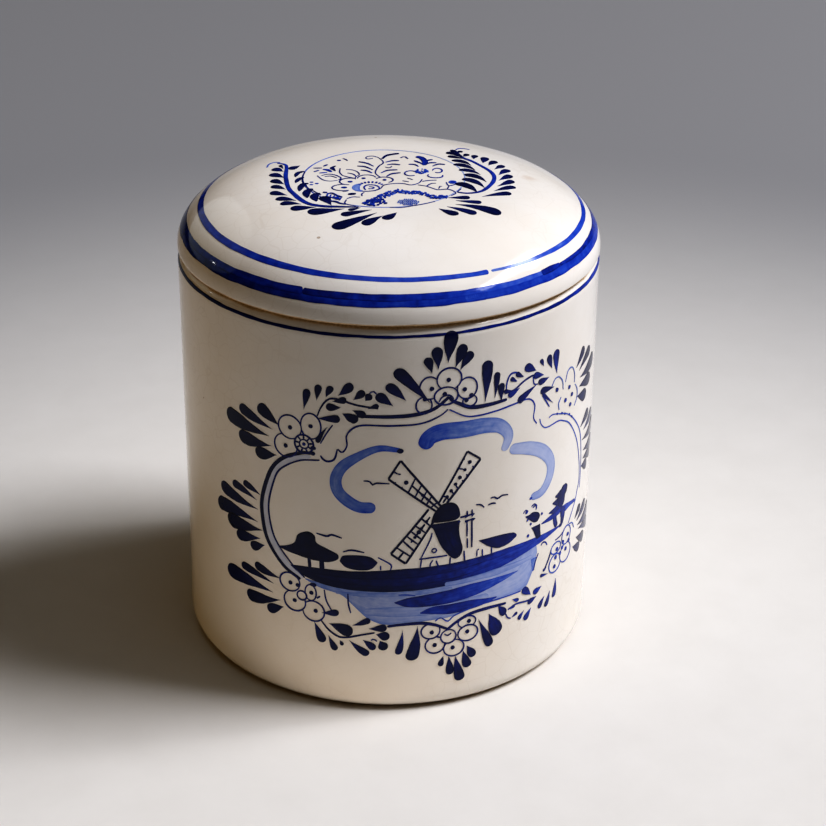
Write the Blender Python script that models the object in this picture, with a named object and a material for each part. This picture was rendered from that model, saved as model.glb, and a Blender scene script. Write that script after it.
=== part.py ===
"""Round lidded ceramic jar, built as its two loose pieces: the jar body and the lift-off lid.

Units are metres and +Z is up. The origin is the centre of the foot, on the plane the jar stands on.
Both pieces are turned about the Z axis, the way they are jiggered and trimmed on a potter's wheel.
"""

import math

import bmesh
import bpy

# Driving dimensions of the jar body
BODY_RADIUS = 0.0530
BODY_HEIGHT = 0.1060
WALL_THICKNESS = 0.0046
FLOOR_THICKNESS = 0.0062
FOOT_CORNER_RADIUS = 0.0042
FOOT_RING_WIDTH = 0.0068
FOOT_RECESS_DEPTH = 0.0012
FOOT_RECESS_SLOPE = 0.0010
SHOULDER_REACH = 0.0028
SHOULDER_RISE = 0.0036
INNER_RIM_RADIUS = 0.0012
FLOOR_FILLET_RADIUS = 0.0070

# Driving dimensions of the lid
SEAT_GAP = 0.0003
LID_LIP_RADIUS = 0.0006
LID_TOTAL_HEIGHT = 0.0164
LID_EDGE_REACH = 0.0297
LID_EDGE_RISE = 0.0155
LID_THICKNESS = 0.0048
FLANGE_CLEARANCE = 0.0010
FLANGE_THICKNESS = 0.0034
FLANGE_DEPTH = 0.0090
FLANGE_TIP_RADIUS = 0.0012
FLANGE_ROOT_RADIUS = 0.0008
UNDERSIDE_FILLET_RADIUS = 0.0040
UNDERSIDE_FILLET_END = 72

# How finely the round shapes are drawn
TURN_STEPS = 72
ARC_STEPS = 4
EDGE_STEPS = 9
DOME_STEPS = 5
MERGE_DISTANCE = 1e-6
SHARP_ANGLE = math.radians(40)

GLAZE_COLOUR = (0.80, 0.76, 0.69, 1.0)
GLAZE_ROUGHNESS = 0.18
LID_GLAZE_COLOUR = (0.82, 0.79, 0.73, 1.0)


def remove_scene_objects():
    """Starts from an empty scene."""
    for scene_object in list(bpy.data.objects):
        bpy.data.objects.remove(scene_object, do_unlink=True)


def glazed_ceramic(name, colour):
    """A Principled material for fired and glazed earthenware."""
    material = bpy.data.materials.new(name)
    material.use_nodes = True
    shader = material.node_tree.nodes["Principled BSDF"]
    shader.inputs["Base Color"].default_value = colour
    shader.inputs["Roughness"].default_value = GLAZE_ROUGHNESS
    shader.inputs["Metallic"].default_value = 0.0
    return material


def arc(centre_r, centre_z, radius_r, radius_z, start_deg, end_deg, steps=ARC_STEPS):
    """Points on an ellipse in the (radius, height) plane, from the start angle to the end angle."""
    points = []
    for step in range(steps + 1):
        angle = math.radians(start_deg + (end_deg - start_deg) * step / steps)
        points.append((centre_r + radius_r * math.cos(angle), centre_z + radius_z * math.sin(angle)))
    return points


def body_profile():
    """The jar body's half section: from the floor's inside centre, up the cavity, over the rim and down to the foot."""
    inner_radius = BODY_RADIUS - WALL_THICKNESS
    foot_outer = BODY_RADIUS - FOOT_CORNER_RADIUS
    foot_inner = foot_outer - FOOT_RING_WIDTH
    points = [(0.0, FLOOR_THICKNESS)]
    points += arc(inner_radius - FLOOR_FILLET_RADIUS, FLOOR_THICKNESS + FLOOR_FILLET_RADIUS,
                  FLOOR_FILLET_RADIUS, FLOOR_FILLET_RADIUS, -90, 0)
    points += arc(inner_radius + INNER_RIM_RADIUS, BODY_HEIGHT - INNER_RIM_RADIUS,
                  INNER_RIM_RADIUS, INNER_RIM_RADIUS, 180, 90)
    points += arc(BODY_RADIUS - SHOULDER_REACH, BODY_HEIGHT - SHOULDER_RISE,
                  SHOULDER_REACH, SHOULDER_RISE, 90, 0)
    points += arc(BODY_RADIUS - FOOT_CORNER_RADIUS, FOOT_CORNER_RADIUS,
                  FOOT_CORNER_RADIUS, FOOT_CORNER_RADIUS, 0, -90)
    points.append((foot_inner, 0.0))
    points.append((foot_inner - FOOT_RECESS_SLOPE, FOOT_RECESS_DEPTH))
    points.append((0.0, FOOT_RECESS_DEPTH))
    return points


def lid_edge_point(angle):
    """Radius and rise above the lip of the lid's elliptical edge, at an angle up from its widest point."""
    radius = BODY_RADIUS - LID_EDGE_REACH + LID_EDGE_REACH * math.cos(angle)
    return radius, LID_EDGE_RISE * math.sin(angle)


def dome_join_angle(apex_rise):
    """Where the lid's elliptical edge meets its parabolic dome with one slope, as an angle up the ellipse."""
    low, high = math.radians(5.0), math.radians(89.5)
    for _ in range(60):
        angle = (low + high) / 2
        radius, rise = lid_edge_point(angle)
        slope = LID_EDGE_RISE * math.cos(angle) / (LID_EDGE_REACH * math.sin(angle))
        if apex_rise - rise < radius * slope / 2:
            low = angle
        else:
            high = angle
    return (low + high) / 2


def dome(apex, rim_radius, rim_height):
    """Points on a shallow parabolic dome, from its top out to just short of its rim."""
    points = []
    for step in range(DOME_STEPS):
        share = step / DOME_STEPS
        points.append((rim_radius * share, apex - (apex - rim_height) * share ** 2))
    return points


def lid_profile():
    """The lid's half section: from the dome's top, out and down to its lip, then in along the seat and flange."""
    seat = BODY_HEIGHT + SEAT_GAP
    edge_height = seat + LID_LIP_RADIUS
    apex = seat + LID_TOTAL_HEIGHT
    join = math.degrees(dome_join_angle(apex - edge_height))
    edge = arc(BODY_RADIUS - LID_EDGE_REACH, edge_height, LID_EDGE_REACH, LID_EDGE_RISE, join, 0, EDGE_STEPS)
    join_radius, join_height = edge[0]
    points = dome(apex, join_radius, join_height) + edge
    points += arc(BODY_RADIUS - LID_LIP_RADIUS, edge_height, LID_LIP_RADIUS, LID_LIP_RADIUS, 0, -90)[1:]

    flange_outer = BODY_RADIUS - WALL_THICKNESS - FLANGE_CLEARANCE
    flange_inner = flange_outer - FLANGE_THICKNESS
    flange_tip = seat - FLANGE_DEPTH
    points += arc(flange_outer + FLANGE_ROOT_RADIUS, seat - FLANGE_ROOT_RADIUS,
                  FLANGE_ROOT_RADIUS, FLANGE_ROOT_RADIUS, 90, 180)
    points += arc(flange_outer - FLANGE_TIP_RADIUS, flange_tip + FLANGE_TIP_RADIUS,
                  FLANGE_TIP_RADIUS, FLANGE_TIP_RADIUS, 0, -90)
    points += arc(flange_inner + FLANGE_TIP_RADIUS, flange_tip + FLANGE_TIP_RADIUS,
                  FLANGE_TIP_RADIUS, FLANGE_TIP_RADIUS, -90, -180)

    fillet_centre = flange_inner - UNDERSIDE_FILLET_RADIUS
    outside_angle = math.acos(1 - (BODY_RADIUS - fillet_centre) / LID_EDGE_REACH)
    fillet_top = edge_height + lid_edge_point(outside_angle)[1] - LID_THICKNESS
    points += arc(fillet_centre, fillet_top - UNDERSIDE_FILLET_RADIUS,
                  UNDERSIDE_FILLET_RADIUS, UNDERSIDE_FILLET_RADIUS, 0, UNDERSIDE_FILLET_END)
    points += reversed(dome(apex - LID_THICKNESS, fillet_centre, fillet_top))
    return points


def turned_piece(name, profile, material):
    """Spins a half section once round the Z axis into a closed solid with its faces pointing out."""
    mesh_builder = bmesh.new()
    vertices = [mesh_builder.verts.new((radius, 0.0, height)) for radius, height in profile]
    edges = [mesh_builder.edges.new(pair) for pair in zip(vertices, vertices[1:])]
    bmesh.ops.spin(
        mesh_builder,
        geom=vertices + edges,
        cent=(0.0, 0.0, 0.0),
        axis=(0.0, 0.0, 1.0),
        angle=2 * math.pi,
        steps=TURN_STEPS,
        use_merge=True,
    )
    bmesh.ops.remove_doubles(mesh_builder, verts=mesh_builder.verts, dist=MERGE_DISTANCE)
    bmesh.ops.dissolve_degenerate(mesh_builder, edges=mesh_builder.edges, dist=MERGE_DISTANCE)
    bmesh.ops.recalc_face_normals(mesh_builder, faces=mesh_builder.faces)
    mesh = bpy.data.meshes.new(name)
    mesh_builder.to_mesh(mesh)
    mesh_builder.free()
    mesh.shade_smooth()
    mesh.set_sharp_from_angle(angle=SHARP_ANGLE)
    mesh.materials.append(material)
    piece = bpy.data.objects.new(name, mesh)
    bpy.context.scene.collection.objects.link(piece)
    return piece


def build():
    """The jar body and its lid, both about the Z axis, which is also the line the lid lifts along."""
    remove_scene_objects()
    turned_piece("jar_body", body_profile(), glazed_ceramic("body_glaze", GLAZE_COLOUR))
    turned_piece("lid", lid_profile(), glazed_ceramic("lid_glaze", LID_GLAZE_COLOUR))


build()
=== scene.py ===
"""Looks for the lidded blue-and-white jar: glazed ceramic shells with hand-painted cobalt brushwork.

Everything is in the CAD frame: metres, +Z up, the painted front faces -Y. Painted marks are laid out in
millimetres: on the wall as (arc length to the right of the front, height above the foot), and on the lid as
(right, back) seen from above. Each mark is a thin closed film that follows the curved surface. Its
material reads where on the brush stroke it is, so that washes streak and pool like real brushwork.
"""

import math
import random

import bpy
import numpy as np
from mathutils import Matrix, Vector


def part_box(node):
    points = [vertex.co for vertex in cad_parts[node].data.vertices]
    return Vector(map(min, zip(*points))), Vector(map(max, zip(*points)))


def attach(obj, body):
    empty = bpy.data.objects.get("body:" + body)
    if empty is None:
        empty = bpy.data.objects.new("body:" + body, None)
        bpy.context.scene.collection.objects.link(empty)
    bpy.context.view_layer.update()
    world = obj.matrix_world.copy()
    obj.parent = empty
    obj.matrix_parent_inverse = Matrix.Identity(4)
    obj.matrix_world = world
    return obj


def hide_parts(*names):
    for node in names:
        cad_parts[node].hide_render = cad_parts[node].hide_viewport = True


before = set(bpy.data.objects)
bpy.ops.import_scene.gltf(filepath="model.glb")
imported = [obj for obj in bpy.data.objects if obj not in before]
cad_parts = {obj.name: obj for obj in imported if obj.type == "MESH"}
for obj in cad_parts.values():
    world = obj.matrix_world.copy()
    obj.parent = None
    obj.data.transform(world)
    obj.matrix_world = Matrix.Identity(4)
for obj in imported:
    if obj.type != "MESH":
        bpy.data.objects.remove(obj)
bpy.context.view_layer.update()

MM = 0.001
jar_low, jar_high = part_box("jar_body")
lid_low, lid_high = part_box("lid")

# --------------------------------------------------------------------------------------------------
# Shape of the two ceramic pieces. The boxes give the driving sizes; the rest restates small CAD sizes.

RADIUS = jar_high.x
JAR_TOP = jar_high.z
LID_APEX = lid_high.z
FLANGE_TIP = lid_low.z

WALL = 4.6 * MM
FLOOR_TOP = 6.2 * MM
FLOOR_FILLET = 7.0 * MM
FOOT_CORNER = 4.2 * MM
FOOT_RING = 6.8 * MM
FOOT_RECESS = 1.2 * MM
FOOT_EDGE_ROUND = 0.5 * MM
SHOULDER_REACH = 2.8 * MM
SHOULDER_RISE = 3.6 * MM
INNER_RIM = 1.2 * MM

SEAT = JAR_TOP + 0.3 * MM
LIP_ROUND = 0.6 * MM
LID_EDGE_HEIGHT = SEAT + LIP_ROUND
LID_EDGE_REACH = 29.7 * MM
LID_EDGE_RISE = 15.5 * MM
LID_THICKNESS = 4.8 * MM
FLANGE_OUTER = RADIUS - WALL - 1.0 * MM
FLANGE_INNER = FLANGE_OUTER - 3.4 * MM
FLANGE_TIP_ROUND = 1.2 * MM
FLANGE_ROOT_ROUND = 0.8 * MM
UNDERSIDE_FILLET = 4.0 * MM

TURN_STEPS = 288
PROFILE_STEP = 1.2 * MM

# The lid sits on the jar turned a little, so its picture faces the way the camera looks from.
LID_TURN = math.radians(-17.5)


def arc(centre_r, centre_z, radius_r, radius_z, start_deg, end_deg, steps):
    """Points on an ellipse in the (radius, height) plane."""
    angles = np.radians(np.linspace(start_deg, end_deg, steps + 1))
    return [(centre_r + radius_r * math.cos(a), centre_z + radius_z * math.sin(a)) for a in angles]


def lid_join():
    """Radius and height where the lid's elliptical edge meets its shallow dome with one slope."""
    low, high = math.radians(5.0), math.radians(89.5)
    for _ in range(60):
        angle = (low + high) / 2
        radius = RADIUS - LID_EDGE_REACH + LID_EDGE_REACH * math.cos(angle)
        height = LID_EDGE_HEIGHT + LID_EDGE_RISE * math.sin(angle)
        slope = LID_EDGE_RISE * math.cos(angle) / (LID_EDGE_REACH * math.sin(angle))
        if LID_APEX - height < radius * slope / 2:
            low = angle
        else:
            high = angle
    return radius, height


JOIN_RADIUS, JOIN_HEIGHT = lid_join()


def lid_height(radius):
    """Height of the lid's outside at a distance from its centre."""
    radius = np.asarray(radius, float)
    dome = LID_APEX - (LID_APEX - JOIN_HEIGHT) * (radius / JOIN_RADIUS) ** 2
    reach = np.clip((radius - (RADIUS - LID_EDGE_REACH)) / LID_EDGE_REACH, 0.0, 1.0)
    edge = LID_EDGE_HEIGHT + LID_EDGE_RISE * np.sqrt(1.0 - reach ** 2)
    return np.where(radius < JOIN_RADIUS, dome, edge)


def wall_radius(height):
    """Outside radius of the jar at a height, with its foot corner and its shoulder."""
    height = np.asarray(height, float)
    foot = np.clip((FOOT_CORNER - height) / FOOT_CORNER, 0.0, 1.0)
    shoulder = np.clip((height - (JAR_TOP - SHOULDER_RISE)) / SHOULDER_RISE, 0.0, 1.0)
    return (RADIUS - FOOT_CORNER * (1.0 - np.sqrt(1.0 - foot ** 2))
            - SHOULDER_REACH * (1.0 - np.sqrt(1.0 - shoulder ** 2)))


def smooth_step(value, start, end):
    share = np.clip((value - start) / (end - start), 0.0, 1.0)
    return share * share * (3.0 - 2.0 * share)


def wall_unevenness(angle, height):
    """How far the thrown wall stands in or out of true, which fades out at the foot and the rim."""
    level = height / JAR_TOP
    wave = (0.070 * np.sin(2 * angle + 0.6 + 2.1 * level) + 0.045 * np.sin(3 * angle - 1.3 - 4.2 * level)
            + 0.022 * np.sin(5 * angle + 9.0 * level) + 0.012 * np.sin(9 * angle - 21.0 * level))
    fade = smooth_step(level, 0.02, 0.14) * smooth_step(level, 1.0, 0.93)
    return wave * fade * MM


def lid_unevenness(x, y):
    """The same for the lid's top, fading out towards the lip."""
    radius = np.hypot(x, y) / RADIUS
    wave = (0.060 * np.sin(95.0 * x + 30.0 * y + 0.4) + 0.045 * np.sin(120.0 * y - 55.0 * x + 2.0)
            + 0.018 * np.sin(260.0 * x - 190.0 * y))
    return wave * smooth_step(radius, 1.0, 0.86) * MM


def wall_surface(u, v):
    """World position of a point on the wall, from arc length and height in metres."""
    angle = u / RADIUS
    radius = wall_radius(v) + wall_unevenness(angle, v)
    return np.stack([radius * np.sin(angle), -radius * np.cos(angle), v + 0.0 * u], -1)


def lid_surface(u, v):
    """World position of a point on the lid, from its picture's right and back directions in metres."""
    x = u * math.cos(LID_TURN) - v * math.sin(LID_TURN)
    y = u * math.sin(LID_TURN) + v * math.cos(LID_TURN)
    return np.stack([x, y, lid_height(np.hypot(x, y)) + lid_unevenness(x, y)], -1)


def surface_normal(surface, u, v):
    """Outward unit normals of a mapped surface, by differences."""
    step = 0.02 * MM
    across = surface(u + step, v) - surface(u - step, v)
    up = surface(u, v + step) - surface(u, v - step)
    normal = np.cross(across, up)
    return normal / np.linalg.norm(normal, axis=-1, keepdims=True)


# --------------------------------------------------------------------------------------------------
# The glazed shells

def refine(points, step):
    """The same outline with extra points, so that no stretch is longer than step."""
    fine = [points[0]]
    for start, end in zip(points, points[1:]):
        count = max(1, math.ceil(math.dist(start, end) / step))
        fine += [tuple(np.array(start) + (np.array(end) - start) * k / count) for k in range(1, count + 1)]
    return fine


def jar_profile():
    """The jar's half section: from inside its floor, over the rim, down to the recess under the foot."""
    inner = RADIUS - WALL
    ring_outer = RADIUS - FOOT_CORNER
    ring_inner = ring_outer - FOOT_RING
    points = [(0.0, FLOOR_TOP)]
    points += arc(inner - FLOOR_FILLET, FLOOR_TOP + FLOOR_FILLET, FLOOR_FILLET, FLOOR_FILLET, -90, 0, 10)
    points += arc(inner + INNER_RIM, JAR_TOP - INNER_RIM, INNER_RIM, INNER_RIM, 180, 90, 8)
    points += arc(RADIUS - SHOULDER_REACH, JAR_TOP - SHOULDER_RISE, SHOULDER_REACH, SHOULDER_RISE, 90, 0, 14)
    points += arc(RADIUS - FOOT_CORNER, FOOT_CORNER, FOOT_CORNER, FOOT_CORNER, 0, -90, 12)
    points += arc(ring_inner + FOOT_EDGE_ROUND, FOOT_EDGE_ROUND, FOOT_EDGE_ROUND, FOOT_EDGE_ROUND, -90, -150,
                  4)
    points.append((ring_inner - FOOT_RECESS, FOOT_RECESS))
    points.append((0.0, FOOT_RECESS))
    return refine(points, PROFILE_STEP)


def lid_profile():
    """The lid's half section from its apex, out to the lip, in along the seat, round the flange and back."""
    radii = np.linspace(0.0, JOIN_RADIUS, 20)
    points = [(r, float(lid_height(r))) for r in radii[:-1]]
    join_deg = math.degrees(math.asin((JOIN_HEIGHT - LID_EDGE_HEIGHT) / LID_EDGE_RISE))
    points += arc(RADIUS - LID_EDGE_REACH, LID_EDGE_HEIGHT, LID_EDGE_REACH, LID_EDGE_RISE, join_deg, 0, 44)
    points += arc(RADIUS - LIP_ROUND, LID_EDGE_HEIGHT, LIP_ROUND, LIP_ROUND, 0, -90, 6)[1:]
    points += arc(FLANGE_OUTER + FLANGE_ROOT_ROUND, SEAT - FLANGE_ROOT_ROUND,
                  FLANGE_ROOT_ROUND, FLANGE_ROOT_ROUND, 90, 180, 5)
    points += arc(FLANGE_OUTER - FLANGE_TIP_ROUND, FLANGE_TIP + FLANGE_TIP_ROUND,
                  FLANGE_TIP_ROUND, FLANGE_TIP_ROUND, 0, -90, 6)
    points += arc(FLANGE_INNER + FLANGE_TIP_ROUND, FLANGE_TIP + FLANGE_TIP_ROUND,
                  FLANGE_TIP_ROUND, FLANGE_TIP_ROUND, -90, -180, 6)
    centre = FLANGE_INNER - UNDERSIDE_FILLET
    top = float(lid_height(centre)) - LID_THICKNESS
    points += arc(centre, top - UNDERSIDE_FILLET, UNDERSIDE_FILLET, UNDERSIDE_FILLET, 0, 82, 10)
    under_apex = LID_APEX - LID_THICKNESS
    for share in np.linspace(0.97, 0.0, 18):
        points.append((centre * share, under_apex - (under_apex - top) * share ** 2))
    return refine(points, PROFILE_STEP)


def turned_mesh(name, profile, unevenness):
    """A closed solid of revolution, whose points unevenness(x, y, z) then moves a little."""
    angles = np.linspace(0.0, 2 * math.pi, TURN_STEPS, endpoint=False)
    vertices, rings, faces = [], [], []
    for radius, height in profile:
        if radius < 1e-7:
            rings.append([len(vertices)])
            vertices.append((0.0, 0.0, height))
        else:
            rings.append(range(len(vertices), len(vertices) + TURN_STEPS))
            vertices += [(radius * math.sin(a), -radius * math.cos(a), height) for a in angles]
    for upper, lower in zip(rings, rings[1:]):
        for k in range(TURN_STEPS):
            after = (k + 1) % TURN_STEPS
            if len(upper) == 1:
                faces.append((upper[0], lower[k], lower[after]))
            elif len(lower) == 1:
                faces.append((upper[k], lower[0], upper[after]))
            else:
                faces.append((upper[k], lower[k], lower[after], upper[after]))
    points = np.array(vertices)
    points += unevenness(points[:, 0], points[:, 1], points[:, 2])
    mesh = bpy.data.meshes.new(name)
    mesh.from_pydata(points.tolist(), [], faces)
    mesh.shade_smooth()
    mesh.update()
    piece = bpy.data.objects.new(name, mesh)
    bpy.context.scene.collection.objects.link(piece)
    return piece


def move_wall(x, y, z):
    """Displacement of the jar's outside wall, and none anywhere else."""
    radius = np.hypot(x, y)
    outside = radius > RADIUS - SHOULDER_REACH - 0.1 * MM
    angle = np.arctan2(x, -y)
    push = np.where(outside, wall_unevenness(angle, z), 0.0) / np.maximum(radius, MM)
    return np.stack([x * push, y * push, 0.0 * z], -1)


def move_lid_top(x, y, z):
    """Displacement of the lid's outside, and none on its underside."""
    outside = z > lid_height(np.hypot(x, y)) - 0.5 * MM
    return np.stack([0.0 * x, 0.0 * y, np.where(outside, lid_unevenness(x, y), 0.0)], -1)


# --------------------------------------------------------------------------------------------------
# Materials

class Nodes:
    """Short names for the node-tree calls that every material here makes."""

    def __init__(self, name):
        self.material = bpy.data.materials.new(name)
        self.material.use_nodes = True
        self.tree = self.material.node_tree
        self.shader = self.tree.nodes["Principled BSDF"]
        self.position = self.tree.nodes.new("ShaderNodeTexCoord").outputs["Object"]

    def link(self, value, socket):
        """Feeds a socket from another socket or from a plain value."""
        if isinstance(value, bpy.types.NodeSocket):
            self.tree.links.new(value, socket)
        else:
            socket.default_value = value

    def math(self, operation, first, second=0.0, clamp=False):
        node = self.tree.nodes.new("ShaderNodeMath")
        node.operation = operation
        node.use_clamp = clamp
        self.link(first, node.inputs[0])
        self.link(second, node.inputs[1])
        return node.outputs[0]

    def ramp(self, value, start, end, low=0.0, high=1.0):
        """Maps start..end smoothly to low..high."""
        node = self.tree.nodes.new("ShaderNodeMapRange")
        node.interpolation_type = "SMOOTHSTEP"
        for key, number in (("Value", value), ("From Min", start), ("From Max", end),
                            ("To Min", low), ("To Max", high)):
            self.link(number, node.inputs[key])
        return node.outputs["Result"]

    def mix(self, share, first, second):
        node = self.tree.nodes.new("ShaderNodeMix")
        node.data_type = "RGBA"
        self.link(share, node.inputs["Factor"])
        self.link(first, node.inputs["A"])
        self.link(second, node.inputs["B"])
        return node.outputs["Result"]

    def noise(self, vector, scale, detail=2.0, roughness=0.5):
        node = self.tree.nodes.new("ShaderNodeTexNoise")
        self.link(vector, node.inputs["Vector"])
        node.inputs["Scale"].default_value = scale
        node.inputs["Detail"].default_value = detail
        node.inputs["Roughness"].default_value = roughness
        return node.outputs["Fac"]

    def cells(self, vector, scale, feature):
        node = self.tree.nodes.new("ShaderNodeTexVoronoi")
        node.feature = feature
        self.link(vector, node.inputs["Vector"])
        node.inputs["Scale"].default_value = scale
        return node.outputs

    def separate(self, vector):
        node = self.tree.nodes.new("ShaderNodeSeparateXYZ")
        self.link(vector, node.inputs[0])
        return node.outputs

    def combine(self, x, y, z):
        node = self.tree.nodes.new("ShaderNodeCombineXYZ")
        for value, socket in zip((x, y, z), node.inputs):
            self.link(value, socket)
        return node.outputs[0]

    def distance(self, point):
        node = self.tree.nodes.new("ShaderNodeVectorMath")
        node.operation = "DISTANCE"
        self.link(self.position, node.inputs[0])
        node.inputs[1].default_value = point
        return node.outputs["Value"]

    def attribute(self, name):
        node = self.tree.nodes.new("ShaderNodeAttribute")
        node.attribute_name = name
        return node.outputs["Vector"]

    def colour_ramp(self, value, stops):
        node = self.tree.nodes.new("ShaderNodeValToRGB")
        ramp = node.color_ramp
        while len(ramp.elements) < len(stops):
            ramp.elements.new(0.5)
        for element, (place, colour) in zip(ramp.elements, stops):
            element.position = place
            element.color = (*colour, 1.0)
        self.link(value, node.inputs["Fac"])
        return node.outputs["Color"]

    def bump(self, height, strength, distance, under=None):
        node = self.tree.nodes.new("ShaderNodeBump")
        node.inputs["Strength"].default_value = strength
        node.inputs["Distance"].default_value = distance
        self.link(height, node.inputs["Height"])
        if under is not None:
            self.link(under, node.inputs["Normal"])
        return node.outputs["Normal"]

    def set(self, **inputs):
        for name, value in inputs.items():
            self.link(value, self.shader.inputs[name.replace("_", " ")])


GLAZE_CREAM = (0.81, 0.765, 0.70, 1.0)
GLAZE_POOLED = (0.77, 0.71, 0.625, 1.0)
CRAZE_LINE = (0.58, 0.50, 0.40, 1.0)
IRON_SPECK = (0.30, 0.19, 0.10, 1.0)
CLAY_BUFF = (0.66, 0.50, 0.31, 1.0)
CLAY_DARK = (0.46, 0.32, 0.18, 1.0)
STAIN_BROWN = (0.55, 0.38, 0.25, 1.0)


def gloss(nodes):
    """The glaze's own surface: glossy, with a faint ripple that bends reflections a little."""
    ripple = nodes.noise(nodes.position, 95.0, 2.0)
    pinhole = nodes.noise(nodes.position, 900.0, 1.0)
    rough = nodes.ramp(nodes.noise(nodes.position, 40.0, 3.0), 0.35, 0.70, 0.07, 0.13)
    normal = nodes.bump(ripple, 0.35, 0.00022)
    normal = nodes.bump(pinhole, 0.10, 0.00002, normal)
    return rough, normal


def glaze_material(name, bare_mask, stain_at=None):
    """Cream glaze with crazing, iron specks and mottling. bare_mask(nodes) is 1 where the clay shows."""
    nodes = Nodes(name)
    mottle = nodes.ramp(nodes.noise(nodes.position, 28.0, 4.0, 0.6), 0.35, 0.75)
    colour = nodes.mix(mottle, GLAZE_CREAM, GLAZE_POOLED)

    warp = nodes.noise(nodes.position, 120.0, 2.0)
    shifted = nodes.tree.nodes.new("ShaderNodeVectorMath")
    shifted.operation = "MULTIPLY_ADD"
    nodes.link(warp, shifted.inputs[0])
    shifted.inputs[1].default_value = (0.004, 0.004, 0.004)
    nodes.link(nodes.position, shifted.inputs[2])
    edge = nodes.cells(shifted.outputs[0], 230.0, "DISTANCE_TO_EDGE")["Distance"]
    line = nodes.ramp(edge, 0.010, 0.035, 1.0, 0.0)
    patchy = nodes.ramp(nodes.noise(nodes.position, 17.0, 2.0), 0.42, 0.66, 0.02, 0.16)
    colour = nodes.mix(nodes.math("MULTIPLY", line, patchy), colour, CRAZE_LINE)

    cells = nodes.cells(nodes.position, 155.0, "F1")
    size = nodes.separate(cells["Color"])[0]
    reach = nodes.ramp(size, 0.90, 1.0, 0.0, 0.075)
    speck = nodes.math("LESS_THAN", cells["Distance"], reach)
    colour = nodes.mix(nodes.math("MULTIPLY", speck, 0.65), colour, IRON_SPECK)

    if stain_at is not None:
        blot = nodes.math("ADD", nodes.distance(stain_at), nodes.math(
            "MULTIPLY", nodes.noise(nodes.position, 420.0, 3.0), 0.0042))
        colour = nodes.mix(nodes.ramp(blot, 0.0020, 0.0052, 0.34, 0.0), colour, STAIN_BROWN)

    bare = bare_mask(nodes)
    grain = nodes.noise(nodes.position, 1500.0, 3.0, 0.7)
    clay = nodes.mix(nodes.ramp(grain, 0.3, 0.7), CLAY_BUFF, CLAY_DARK)
    rough, glazed_normal = gloss(nodes)
    clay_normal = nodes.bump(grain, 0.5, 0.0001)
    normal = nodes.tree.nodes.new("ShaderNodeMix")
    normal.data_type = "VECTOR"
    nodes.link(bare, normal.inputs[0])
    nodes.link(glazed_normal, normal.inputs[4])
    nodes.link(clay_normal, normal.inputs[5])
    nodes.set(
        Base_Color=nodes.mix(bare, colour, clay),
        Roughness=nodes.ramp(bare, 0.0, 1.0, rough, 0.82),
        Normal=normal.outputs[1],
        Specular_IOR_Level=0.42,
    )
    return nodes.material


def jar_bare_clay(nodes):
    """Bare clay on the foot ring and along the rim's top, where the glaze was wiped off."""
    z = nodes.separate(nodes.position)[2]
    ragged = nodes.math("MULTIPLY", nodes.math("SUBTRACT", nodes.noise(nodes.position, 160.0), 0.5), 0.0008)
    height = nodes.math("ADD", z, ragged)
    foot = nodes.ramp(height, 0.0009, 0.0013, 1.0, 0.0)
    rim = nodes.ramp(height, JAR_TOP - 0.0010, JAR_TOP - 0.0006)
    return nodes.math("MAXIMUM", foot, rim)


def lid_bare_clay(nodes):
    """Bare clay on the lid's seat and the edge of its lip."""
    x, y, z = nodes.separate(nodes.position)
    ragged = nodes.math("MULTIPLY", nodes.math("SUBTRACT", nodes.noise(nodes.position, 160.0), 0.5), 0.0005)
    height = nodes.math("ADD", z, ragged)
    below = nodes.ramp(height, SEAT + 0.00035, SEAT + 0.00060, 1.0, 0.0)
    radius = nodes.math("SQRT", nodes.math("ADD", nodes.math("MULTIPLY", x, x), nodes.math("MULTIPLY", y, y)))
    outside = nodes.ramp(radius, FLANGE_OUTER - 0.0006, FLANGE_OUTER - 0.0002)
    return nodes.math("MULTIPLY", below, outside)


COBALT_STOPS = (
    (0.00, (0.68, 0.68, 0.72)),
    (0.15, (0.42, 0.47, 0.66)),
    (0.32, (0.135, 0.215, 0.52)),
    (0.46, (0.030, 0.085, 0.46)),
    (0.58, (0.012, 0.040, 0.34)),
    (0.70, (0.008, 0.016, 0.135)),
    (0.82, (0.006, 0.010, 0.058)),
    (1.00, (0.004, 0.005, 0.018)),
)


def cobalt_material():
    """Cobalt brushwork. The stroke and tone attributes say where on its stroke each point is."""
    nodes = Nodes("cobalt_brushwork")
    along, across, seed = nodes.separate(nodes.attribute("stroke"))
    load, edge, _ = nodes.separate(nodes.attribute("tone"))
    bristle = nodes.noise(nodes.combine(
        nodes.math("MULTIPLY", along, 0.16), nodes.math("MULTIPLY", across, 1.9), seed), 1.0, 3.0, 0.6)
    cloud = nodes.noise(nodes.combine(
        nodes.math("MULTIPLY", along, 0.45), nodes.math("MULTIPLY", across, 0.55), seed), 1.0, 2.0)
    wet = nodes.math("MULTIPLY", nodes.ramp(load, 0.10, 0.42, 0.35, 1.0),
                     nodes.ramp(load, 0.55, 0.90, 1.0, 0.40))
    streak = nodes.math("MULTIPLY", nodes.math("SUBTRACT", bristle, 0.5), nodes.math("MULTIPLY", wet, 0.21))
    drift = nodes.math("MULTIPLY", nodes.math("SUBTRACT", cloud, 0.5), nodes.math("MULTIPLY", wet, 0.26))
    pooled = nodes.math("MULTIPLY", nodes.math("POWER", edge, 5.0), 0.10)
    tone = nodes.math("ADD", nodes.math("ADD", load, streak), nodes.math("ADD", drift, pooled), clamp=True)
    rough, normal = gloss(nodes)
    nodes.set(Base_Color=nodes.colour_ramp(tone, COBALT_STOPS), Roughness=rough, Normal=normal,
              Specular_IOR_Level=0.22)
    return nodes.material


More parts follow.
